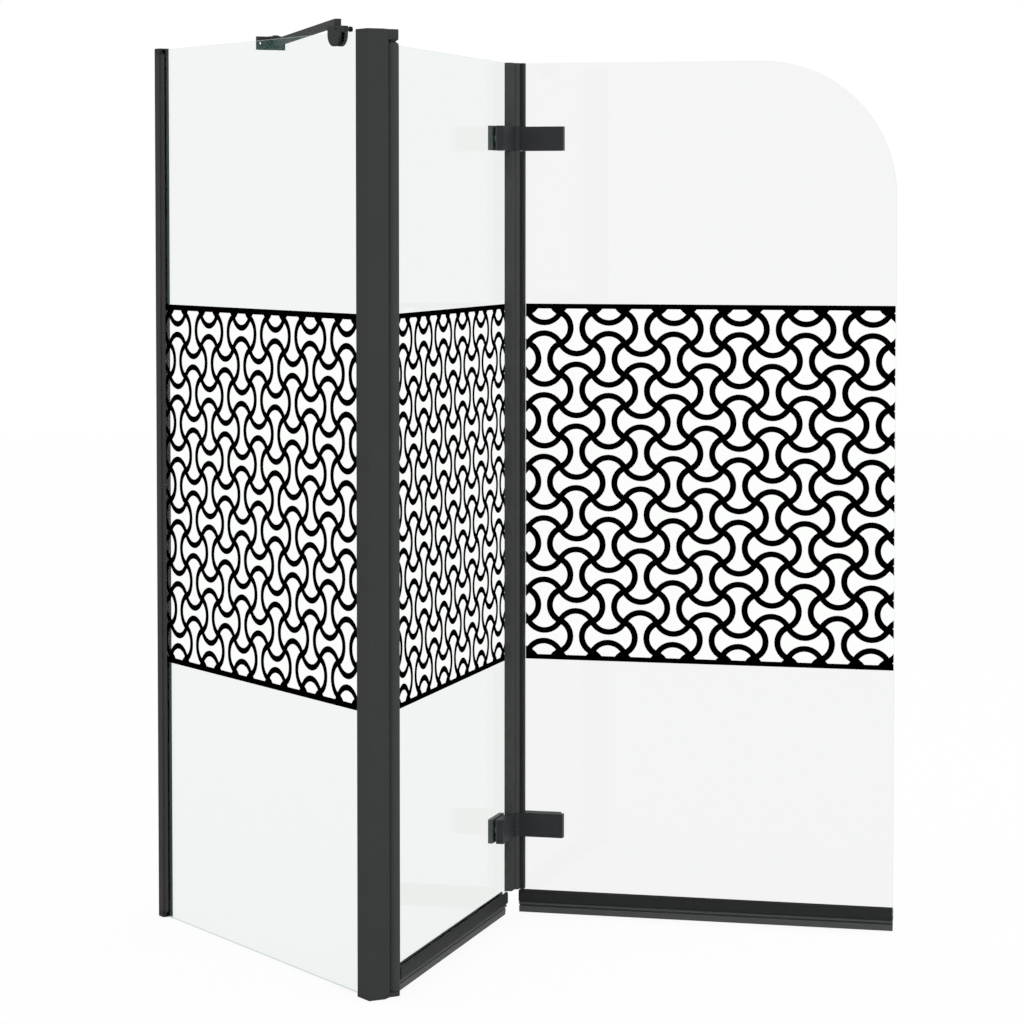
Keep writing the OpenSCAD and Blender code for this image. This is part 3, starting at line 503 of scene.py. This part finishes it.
def arc(a, b, rise, steps):
    """Points of an arc from a toward b. It stands to the left by rise, as a share of a to b."""
    chord = b - a
    length = chord.length
    tall = abs(rise) * length
    radius = (length * length / 4 + tall * tall) / (2 * tall)
    half = math.asin(length / 2 / radius)
    side = math.copysign(1, rise)
    along = chord / length
    left = Vector((-along.y, along.x)) * side
    centre = (a + b) / 2 + left * (tall - radius)
    turns = [-half + 2 * half * i / steps for i in range(steps)]
    return [centre + (along * math.sin(t) + left * math.cos(t)) * radius for t in turns]


def ribbon(line, width):
    """The outline of a stroke of even width along a line of points."""
    left, right = [], []
    for i, p in enumerate(line):
        ahead = line[min(i + 1, len(line) - 1)] - line[max(i - 1, 0)]
        ahead.normalize()
        off = Vector((-ahead.y, ahead.x)) * width / 2
        left.append(p + off)
        right.append(p - off)
    return right + left[::-1]


def stroke_outlines(band):
    """Every wavy stroke of the linked pattern: rows across the band and columns down it."""
    def knot(k, j):
        return Vector((band["first"] + k * band["pitch"], band["top"] - j * band["drop"]))

    outlines = []
    for j in range(band["rows"]):
        line = []
        for k in range(-1, band["columns"] + 1):
            rise = -band["row_rise"] if (k + j) % 2 == 0 else band["row_rise"]
            line += arc(knot(k, j), knot(k + 1, j), rise, band["steps"])
        outlines.append(ribbon(line, band["row_stroke"]))
    for k in range(-1, band["columns"] + 2):
        line = []
        for j in range(-1, band["rows"] + 1):
            # Going down, the left of the stroke is toward higher k
            rise = -band["column_rise"] if (k + j) % 2 == 0 else band["column_rise"]
            line += arc(knot(k, j), knot(k, j + 1), rise, band["steps"])
        outlines.append(ribbon(line, band["column_stroke"]))
    return outlines


def box_loop(x0, x1, z0, z1):
    """The outline of an upright rectangle."""
    return [Vector((x0, z0)), Vector((x1, z0)), Vector((x1, z1)), Vector((x0, z1))]


def film(corners, triangles, y0, y1, home):
    """The mesh of a closed film between two depths, from flat triangles in a panel's frame."""
    mesh = bmesh.new()
    front, back = {}, {}
    for i in sorted({i for tri in triangles for i in tri}):
        x, z = corners[i]
        front[i] = mesh.verts.new(home @ (Vector((x, y0, z)) * MM))
        back[i] = mesh.verts.new(home @ (Vector((x, y1, z)) * MM))
    edges = {}
    for tri in triangles:
        mesh.faces.new([front[i] for i in tri])
        mesh.faces.new([back[i] for i in reversed(tri)])
        edges.update(dict.fromkeys(zip(tri, (*tri[1:], tri[0]))))
    # An edge that no second triangle runs along the other way is on the rim
    for a, b in edges:
        if (b, a) not in edges:
            mesh.faces.new([front[b], front[a], back[a], back[b]])
    return mesh


def print_band(panel, body, home, band, white, black):
    """Both colours of one panel's band, cut along the strokes and fired side by side."""
    ground, border = panel + "_print_band", panel + "_print_border"
    low, high = extent(border, home)
    line = band["border"]
    loops = [box_loop(low.x, high.x, low.z, high.z),
             box_loop(low.x, high.x, low.z, low.z + line),
             box_loop(low.x, high.x, high.z - line, high.z), *stroke_outlines(band)]
    corners, faces = [], []
    for loop in loops:
        faces.append(list(range(len(corners), len(corners) + len(loop))))
        corners += loop
    inside_only, snap = 1, 0.0001
    corners, _, triangles, _, _, source = delaunay_2d_cdt(
        corners, [], faces, inside_only, snap)
    # Loop 0 is the whole band, and a triangle that lies in another loop as well is black
    inside = [(t, s) for t, s in zip(triangles, source) if 0 in s]
    for name, mat, node, slot, kept in (
            (panel + "_white_enamel", white, ground, "print_ground",
             [t for t, s in inside if len(s) == 1]),
            (panel + "_black_enamel", black, border, "print_ink",
             [t for t, s in inside if len(s) > 1])):
        mesh = film(corners, kept, low.y, high.y, home)
        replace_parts(new_piece(name, mesh, body, mat), node)


# ---------------------------------------------------------------- settings

class BandSettings(bpy.types.PropertyGroup):
    """Sizes and colours of the printed bands, in millimetres."""
    row_stroke: bpy.props.FloatProperty(
        name="Row stroke", description="Width of the strokes across, in millimetres",
        default=8.6, min=2)
    column_stroke: bpy.props.FloatProperty(
        name="Column stroke", description="Width of the strokes that run down, in millimetres",
        default=9.3, min=2)
    row_rise: bpy.props.FloatProperty(
        name="Row rise", description="Height of each arc across as a share of its length",
        default=0.306, min=0.05, max=0.49, subtype="FACTOR")
    column_rise: bpy.props.FloatProperty(
        name="Column rise", description="Height of each arc down as a share of its length",
        default=0.345, min=0.05, max=0.49, subtype="FACTOR")
    top: bpy.props.FloatProperty(
        name="First row", description="Height of the first row of knots, in millimetres",
        default=908.0)
    drop: bpy.props.FloatProperty(
        name="Row pitch", description="Distance from row to row, in millimetres",
        default=46.25, min=5)
    rows: bpy.props.IntProperty(
        name="Rows", description="Rows of knots down a band", default=12, min=1)
    columns: bpy.props.IntProperty(
        name="Columns", description="Columns of knots along a band", default=12, min=1)
    steps: bpy.props.IntProperty(
        name="Arc steps", description="Straight pieces in each arc", default=12, min=4)
    bloom: bpy.props.FloatProperty(
        name="White bloom", description="Share of light that the white ground stops",
        default=0.03, min=0, max=1, subtype="FACTOR")
    white: bpy.props.StringProperty(
        name="White enamel", description="Ground colour, sRGB hex", default="#F9FAFA")
    black: bpy.props.StringProperty(
        name="Black enamel", description="Stroke colour, sRGB hex", default="#010101")


class FinishSettings(bpy.types.PropertyGroup):
    """Colours of the metals, plastics and glass, as sRGB hex."""
    profile: bpy.props.StringProperty(
        name="Profiles", description="Powder coat of the post and brackets", default="#393B3A")
    # Painted light: the pivot, fold and wall profiles wear lighter copies of the post's matt
    # black coat. The lift stands in for light on the fold profile, which faces the eye, and
    # makes up for the shade in the fold's recess and the wall corner
    pivot_profile: bpy.props.StringProperty(
        name="Pivot profile", description="Powder coat of the inner leaf's pivot profile",
        default="#3F4140")
    fold_profile: bpy.props.StringProperty(
        name="Fold profile", description="Powder coat of the inner leaf's edge profile",
        default="#454746")
    wall_profile: bpy.props.StringProperty(
        name="Wall profile", description="Powder coat of the profile at the wall",
        default="#3D3B3C")
    hinge: bpy.props.StringProperty(
        name="Hinges", description="Powder coat of the hinge blocks", default="#333437")
    # Painted shade: the outer edge profile is its own black PVC, painted darker still for the
    # shade of the fold's corner that it faces
    outer_edge: bpy.props.StringProperty(
        name="Outer edge profile", description="Black PVC of the outer leaf's edge",
        default="#2E302F")
    clip: bpy.props.StringProperty(
        name="Seal clip", description="Black PVC of the bottom seals", default="#2A2B2B")
    fin: bpy.props.StringProperty(
        name="Seal fin", description="Dark grey soft PVC of the fins", default="#505251")
    wall_gasket: bpy.props.StringProperty(
        name="Wall gasket", description="Dark grey EPDM between the wall profile and its glass",
        default="#3B3A3A")
    rubber: bpy.props.StringProperty(
        name="Rubber", description="EPDM pads and tape", default="#121212")
    gasket: bpy.props.StringProperty(
        # Painted reflection: the hinge pads are black rubber, painted green-grey to stand in for
        # the glass's reflection over them
        name="Hinge gaskets", description="Grey rubber between the hinges and the glass",
        default="#4E5654")
    acetal: bpy.props.StringProperty(
        name="Acetal", description="Bushes and washers", default="#161616")
    pin: bpy.props.StringProperty(
        name="Pivot pins", description="Turned stainless steel", default="#C5C6C8")
    screw: bpy.props.StringProperty(
        name="Hinge screws", description="Machined stainless steel", default="#B9BABC")
    dark_steel: bpy.props.StringProperty(
        name="Dark steel", description="Hinge pins and black screws", default="#3A3A3B")
    clear: bpy.props.StringProperty(
        name="Clear seal", description="Clear PVC beside the post", default="#F0F3F1")
    inner_glass: bpy.props.StringProperty(
        name="Inner glass", description="What the inner glass passes of white light",
        default="#F9FAF9")
    outer_glass: bpy.props.StringProperty(
        name="Outer glass", description="What the outer glass passes of white light",
        default="#FAFAFA")
    side_glass: bpy.props.StringProperty(
        name="Side glass", description="What the side glass passes of white light",
        default="#FBFBFB")
    # Painted reflection: the hinges' inside plates face the glass across a narrow, shaded gap.
    # Their light green-grey stands in for the glass's green reflection over them
    hinge_plate_painted_reflection: bpy.props.StringProperty(
        name="Clamp plates", description="Satin grey of the hinges' inside plates",
        default="#545C5A")


class StageSettings(bpy.types.PropertyGroup):
    """The floor, the light and the camera."""
    sky: bpy.props.FloatProperty(
        name="Surrounding light", description="Strength of the white surroundings",
        default=0.92, min=0)
    key: bpy.props.FloatProperty(
        name="Key lamp", description="Power of the large lamp, in watts", default=160, min=0)
    key_size: bpy.props.FloatProperty(
        name="Key lamp size", description="Width of the large round lamp", default=4.2,
        min=0.1, unit="LENGTH")
    key_place: bpy.props.FloatVectorProperty(
        name="Key lamp place", description="Where the large lamp hangs",
        default=(0.8, -7.9, 4.2), size=3, subtype="TRANSLATION", unit="LENGTH")
    key_aim: bpy.props.FloatVectorProperty(
        name="Key lamp aim", description="The point that the large lamp faces",
        default=(0.3, 0.2, 0.6), size=3, subtype="TRANSLATION", unit="LENGTH")
    shadow: bpy.props.FloatProperty(
        name="Floor shadow", description="Share of the floor's brightness that a shadow takes",
        default=0.1, min=0, max=1, subtype="FACTOR")
    eye: bpy.props.FloatVectorProperty(
        name="Camera place", description="Where the camera stands",
        default=(-2.2349, -4.2273, 1.0513), size=3, subtype="TRANSLATION", unit="LENGTH")
    heading: bpy.props.FloatProperty(
        name="Camera heading", description="Turn from the wall's direction, clockwise",
        default=math.radians(29.771), subtype="ANGLE", unit="ROTATION")
    dip: bpy.props.FloatProperty(
        name="Camera dip", description="Angle of the view below level",
        default=math.radians(3.087), subtype="ANGLE", unit="ROTATION")
    lens: bpy.props.FloatProperty(
        name="Focal length", description="Focal length on a 36 mm frame, in millimetres",
        default=125.944, min=10)
    shift: bpy.props.FloatVectorProperty(
        name="Lens shift", description="Sideways and upward shift as shares of the frame",
        default=(0.0184, -0.10), size=2)


# ---------------------------------------------------------------- operators

class SCREEN_OT_metal(bpy.types.Operator):
    """Dresses the post, the profiles and the hinges, and shapes the jaws and the fillets."""
    bl_idname = "bath_screen.metal"
    bl_label = "Dress the metal"

    def execute(self, context):
        colours = context.scene.bath_screen_finishes
        matt = {"shine": 0.03, "roughness": 0.6}
        profile = powder_coat("matt_black_powder_coat", colours.profile, **matt)
        # Painted light: the wall, pivot and fold profiles get lighter copies of the one matt
        # black coat. The lift stands in for light on the fold profile facing the eye, and makes
        # up for the shade in the fold's recess and the wall corner
        wear(powder_coat("wall_profile_coat_painted_lighter", colours.wall_profile, **matt),
             "wall_channel")
        wear(powder_coat("pivot_profile_coat_painted_lighter", colours.pivot_profile, **matt),
             "pivot_profile")
        wear(powder_coat("fold_profile_coat_painted_lighter", colours.fold_profile, **matt),
             "inner_edge_profile")
        soften("wall_channel", "pivot_profile", "inner_edge_profile", width_mm=0.4)
        fixed = ["corner_post", "top_pivot_bracket", "bottom_pivot_bracket",
                 "stabiliser_wall_bracket"]
        wear(profile, "stabiliser_bar", *fixed)
        front_jaw(profile)
        low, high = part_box("stabiliser_back_jaw")
        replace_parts(jaw_plate("clamp_back_jaw", "stabiliser_back_jaw", low[0], high[0],
                              profile), "stabiliser_back_jaw")
        soften("clamp_front_jaw", "clamp_back_jaw", *fixed, width_mm=0.4)
        soften("stabiliser_bar", width_mm=1.6)

        hinge = powder_coat("fine_black_powder_coat", colours.hinge, shine=0.08, roughness=0.5)
        # Painted reflection: the inside plates' light green-grey stands in for the glass's green
        # reflection over them, where the narrow gap at the glass lies in shade
        plate = powder_coat("plate_coat_painted_reflection", colours.hinge_plate_painted_reflection, shine=0.1,
                            roughness=0.45)
        # The inner half is the outer half mirrored, and each fillet is as high as its slot
        mirrored = Matrix.Scale(-1, 4, (1, 0, 0))
        halves = (("inner", Matrix.Rotation(LEAF_ANGLE, 4, "Z") @ mirrored,
                   (KNUCKLE_SPLIT - HAIR - KNUCKLE_WASHER, HINGE_HALF - HAIR)),
                  ("outer", Matrix.Rotation(-LEAF_ANGLE, 4, "Z"),
                   (HAIR - HINGE_HALF, KNUCKLE_SPLIT - HAIR)))
        for end, middle in HINGES:
            for leaf, turn, span in halves:
                name = f"{end}_hinge_{leaf}_"
                wear(hinge, name + "block")
                wear(plate, name + "plate")
                soften(name + "block", name + "plate", width_mm=0.5)
                home = Matrix.Translation(FOLD + Vector((0, 0, middle * MM))) @ turn
                cove(name + "cove", leaf + "_leaf", home, span, hinge)
        wear(turned_steel("turned_stainless_steel", colours.pin, roughness=0.3),
             "top_pivot_pin", "bottom_pivot_pin")
        wear(turned_steel("blackened_steel", colours.dark_steel, roughness=0.45),
             "upper_hinge_pin", "lower_hinge_pin")
        return {"FINISHED"}


class SCREEN_OT_screws(bpy.types.Operator):
    """Turns the screws with their hexagon sockets, and the knob of the clamp screw."""
    bl_idname = "bath_screen.screws"
    bl_label = "Turn the screws"

    def execute(self, context):
        colours = context.scene.bath_screen_finishes
        bright = turned_steel("machined_stainless_steel", colours.screw, roughness=0.35)
        dark = turned_steel("black_oxide_steel", colours.dark_steel, roughness=0.45)
        hinge_screw = partial(socket_screw, shank=2.5, head=4.8, taper=2.8)
        bracket_screw = partial(socket_screw, shank=2.0, head=3.8, taper=1.8)
        pivot_screw = partial(socket_screw, shank=2.5, head=4.0, taper=2.8)
        for end, _ in HINGES:
            for leaf, home in LEAVES:
                fit_screws(f"{end}_hinge_{leaf}_screws", leaf + "_leaf", home,
                           toward=(0, 1, 0), count=2, rings=hinge_screw, mat=bright)
        for end, up in (("top", 1), ("bottom", -1)):
            fit_screws(end + "_bracket_screws", "root", Matrix(),
                       toward=(0, 0, up), count=2, rings=bracket_screw, mat=dark)
        for node, toward, rings in (("stabiliser_clamp_pivot", (0, 0, 1), pivot_screw),
                                    ("stabiliser_wall_pivot", (0, 0, 1), button_screw),
                                    ("stabiliser_clamp_screw", (1, 0, 0), knob_screw)):
            fit_screws(node, "root", Matrix(), toward, 1, rings, dark)
        return {"FINISHED"}


class SCREEN_OT_plastic(bpy.types.Operator):
    """Dresses the seals, caps, pads and bushes, and shapes the fins, lips and washers."""
    bl_idname = "bath_screen.plastic"
    bl_label = "Dress the plastic"

    def execute(self, context):
        colours = context.scene.bath_screen_finishes
        # Painted shade: the outer edge profile's black PVC is painted darker still for the shade
        # of the fold's corner
        wear(vinyl("black_rigid_pvc_painted_shade", colours.outer_edge, shine=0.05, roughness=0.6),
             "outer_edge_profile")
        clips = ["wall_channel_top_cap", "wall_channel_bottom_cap", "inner_seal_clip",
                 "outer_seal_clip"]
        wear(vinyl("black_clip_pvc", colours.clip, shine=0.05, roughness=0.6), *clips)
        soften("outer_edge_profile", *clips, width_mm=0.4)
        fin = vinyl("grey_soft_pvc", colours.fin, shine=0.08, roughness=0.6)
        for leaf, home in LEAVES:
            seal_fin(leaf + "_seal_fin", leaf + "_leaf", home, fin)

        gasket = vinyl("grey_epdm_rubber", colours.wall_gasket, shine=0.1, roughness=0.7)
        wear(gasket, "wall_channel_seal")
        gasket_lip("wall_gasket_outer_lip", side=-1, reach=7.0, mat=gasket)
        gasket_lip("wall_gasket_inner_lip", side=1, reach=5.0, mat=gasket)
        rubber = vinyl("black_epdm_rubber", colours.rubber, shine=0.3, roughness=0.7)
        wear(rubber, "pivot_glazing_tape")
        # Painted reflection: the hinge pads' black rubber is painted green-grey, standing in for
        # the glass's reflection over them
        wear(vinyl("hinge_pad_rubber_painted_reflection", colours.gasket, shine=0.2, roughness=0.6),
             *[f"{end}_hinge_{leaf}_pads" for end, _ in HINGES for leaf, _ in LEAVES])
        pads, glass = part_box("stabiliser_pads"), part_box("side_glass")
        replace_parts(jaw_plate("clamp_front_pad", "stabiliser_pads", pads[0][0], glass[0][0],
                              rubber), "stabiliser_pads")
        jaw_plate("clamp_back_pad", "stabiliser_pads", glass[1][0], pads[1][0],
                  rubber)

        acetal = vinyl("black_acetal", colours.acetal, shine=0.5, roughness=0.35)
        wear(acetal, "top_pivot_bush", "bottom_pivot_bush", "pivot_thrust_washer")
        for end, middle in HINGES:
            hinge_washers(end + "_hinge_washers", middle, acetal)
        wear(vinyl("clear_soft_pvc", colours.clear, shine=0.3, roughness=0.3),
             "post_glass_seal")
        return {"FINISHED"}


class SCREEN_OT_glass(bpy.types.Operator):
    """Dresses the three panels of glass."""
    bl_idname = "bath_screen.glass"
    bl_label = "Dress the glass"

    def execute(self, context):
        colours = context.scene.bath_screen_finishes
        band = [corner.z for corner in extent("side_print_border", SIDE_FRAME)]
        # The coat mirrors most where it faces the eye, and least on the outer leaf, which has
        # it on the far side
        for panel, home, tint, coat, share in (
                ("side", SIDE_FRAME, colours.side_glass, "#A4E0D4", 0.038),
                ("inner", INNER_FRAME, colours.inner_glass, "#DCFAFA", 0.026),
                ("outer", OUTER_FRAME, colours.outer_glass, "#DCFAFA", 0.01)):
            facing = home.to_3x3() @ Vector((0, 1, 0))
            wear(clear_glass(panel + "_toughened_float_glass", tint, facing, band, coat, share),
                 panel + "_glass")
        return {"FINISHED"}


class SCREEN_OT_print(bpy.types.Operator):
    """Prints the linked pattern and its border lines on the three panels."""
    bl_idname = "bath_screen.print_bands"
    bl_label = "Print the bands"

    def execute(self, context):
        bands = context.scene.bath_screen_bands
        shared = {key: getattr(bands, key) for key in (
            "row_stroke", "column_stroke", "row_rise", "column_rise", "top", "drop", "rows",
            "columns", "steps")}
        white = enamel("white_frosting_enamel", bands.white, shine=0.2, roughness=0.5,
                       cover=bands.bloom)
        black = enamel("black_ceramic_enamel", bands.black, shine=0.0, roughness=0.5,
                       cover=1.0)
        # The first column is measured from the axis of the post, the pivot and the fold in
        # turn. The side panel is longer, so its pattern is stretched and has its own arcs
        side = dict(shared, first=-624.7, pitch=54.19, row_rise=0.283, column_rise=0.37,
                    border=8.2)
        inner = dict(shared, first=16.5, pitch=49.42, border=7.2)
        outer = dict(shared, first=15.9, pitch=49.58, border=7.3)
        print_band("side", "root", SIDE_FRAME, side, white, black)
        print_band("inner", "inner_leaf", INNER_FRAME, inner, white, black)
        print_band("outer", "outer_leaf", OUTER_FRAME, outer, white, black)
        return {"FINISHED"}


class SCREEN_OT_stage(bpy.types.Operator):
    """Sets the floor, the surroundings, the lamp and the camera."""
    bl_idname = "bath_screen.stage"
    bl_label = "Set the stage"

    def execute(self, context):
        stage = context.scene.bath_screen_stage
        scene = context.scene
        scene.view_settings.view_transform = "Standard"

        # White surroundings: full white to the eye, in gloss and through glass
        world = bpy.data.worlds.new("white_studio")
        world.use_nodes = True
        tree = world.node_tree
        tree.nodes.clear()
        seen = self.seen(tree)
        level = add(tree, "ShaderNodeMapRange", {"To Min": stage.sky, "To Max": 1.0},
                    {"Value": seen})
        sky = add(tree, "ShaderNodeBackground", {"Color": (1, 1, 1, 1)},
                  {"Strength": level.outputs["Result"]})
        add(tree, "ShaderNodeOutputWorld", {}, {"Surface": sky.outputs["Background"]})
        scene.world = world

        # Matt white paper floor: it shows white, less the share that a shadow takes, and
        # lies half a millimetre below the screen's foot
        mat, tree, out = finish("white_paper_floor")
        seen = self.seen(tree)
        place = add(tree, "ShaderNodeTexCoord").outputs["Object"]
        # Paper fibres, a few millimetres long
        fibre = add(tree, "ShaderNodeTexNoise", {"Scale": 1 / (3 * MM), "Detail": 2.0},
                    {"Vector": place})
        shade = add(tree, "ShaderNodeBsdfDiffuse",
                    {"Color": (stage.shadow, stage.shadow, stage.shadow, 1)})
        glow = add(tree, "ShaderNodeEmission",
                   {"Color": (1, 1, 1, 1), "Strength": 1 - stage.shadow})
        both = add(tree, "ShaderNodeAddShader", {}, {0: shade.outputs[0], 1: glow.outputs[0]})
        tone = add(tree, "ShaderNodeMapRange", {"To Min": 0.83, "To Max": 0.87},
                   {"Value": fibre.outputs["Fac"]})
        paper = add(tree, "ShaderNodeBsdfDiffuse", {}, {"Color": tone.outputs["Result"]})
        mix = add(tree, "ShaderNodeMixShader", {},
                  {0: seen, 1: paper.outputs[0], 2: both.outputs[0]})
        tree.links.new(mix.outputs[0], out.inputs["Surface"])
        mesh = bmesh.new()
        bmesh.ops.create_circle(mesh, cap_ends=True, radius=12, segments=64)
        data = bpy.data.meshes.new("floor")
        mesh.to_mesh(data)
        mesh.free()
        floor = bpy.data.objects.new("floor", data)
        floor.location = (0.4, 0.3, -0.0005)
        data.materials.append(mat)
        scene.collection.objects.link(floor)

        lamp = bpy.data.lights.new("key", "AREA")
        lamp.shape = "DISK"
        lamp.size = stage.key_size
        lamp.energy = stage.key
        key = bpy.data.objects.new("key", lamp)
        key.location = stage.key_place
        aim = Vector(stage.key_aim) - key.location
        key.rotation_euler = aim.to_track_quat("-Z", "Y").to_euler()
        scene.collection.objects.link(key)

        data = bpy.data.cameras.new("camera")
        data.lens = stage.lens
        data.sensor_width = 36
        data.shift_x, data.shift_y = stage.shift
        data.clip_start, data.clip_end = 0.05, 60
        camera = bpy.data.objects.new("camera", data)
        camera.location = stage.eye
        camera.rotation_euler = (math.radians(90) - stage.dip, 0, -stage.heading)
        scene.collection.objects.link(camera)
        scene.camera = camera
        return {"FINISHED"}

    def seen(self, tree):
        """One where the eye, a gloss or glass meets the surface, and nought for other light."""
        path = add(tree, "ShaderNodeLightPath")
        one = add(tree, "ShaderNodeMath", {"operation": "MAXIMUM"},
                  {0: path.outputs["Is Camera Ray"], 1: path.outputs["Is Glossy Ray"]})
        two = add(tree, "ShaderNodeMath", {"operation": "MAXIMUM"},
                  {0: one.outputs[0], 1: path.outputs["Is Transmission Ray"]})
        return two.outputs[0]


class SCREEN_PT_panel(bpy.types.Panel):
    """Lists the steps in the sidebar of the 3D view."""
    bl_label = "Bath screen"
    bl_idname = "SCREEN_PT_panel"
    bl_space_type = "VIEW_3D"
    bl_region_type = "UI"
    bl_category = "Bath Screen"

    def draw(self, context):
        for group in GROUPS:
            settings = getattr(context.scene, group)
            box = self.layout.box()
            for key in type(settings).__annotations__:
                box.prop(settings, key)
        for step in STEPS:
            self.layout.operator(step.bl_idname)


STEPS = (SCREEN_OT_stage, SCREEN_OT_metal, SCREEN_OT_screws, SCREEN_OT_plastic,
         SCREEN_OT_glass, SCREEN_OT_print)
GROUPS = {"bath_screen_bands": BandSettings, "bath_screen_finishes": FinishSettings,
          "bath_screen_stage": StageSettings}


def register():
    """Adds the settings, the steps and the panel to Blender."""
    for kind in (*GROUPS.values(), *STEPS, SCREEN_PT_panel):
        bpy.utils.register_class(kind)
    for name, kind in GROUPS.items():
        setattr(bpy.types.Scene, name, bpy.props.PointerProperty(type=kind))


def unregister():
    """Takes them out again."""
    for name in GROUPS:
        delattr(bpy.types.Scene, name)
    for kind in reversed((*GROUPS.values(), *STEPS, SCREEN_PT_panel)):
        bpy.utils.unregister_class(kind)


def main():
    """Runs every step in order."""
    register()
    for step in STEPS:
        group, name = step.bl_idname.split(".")
        getattr(getattr(bpy.ops, group), name)()


if __name__ == "__main__":
    main()
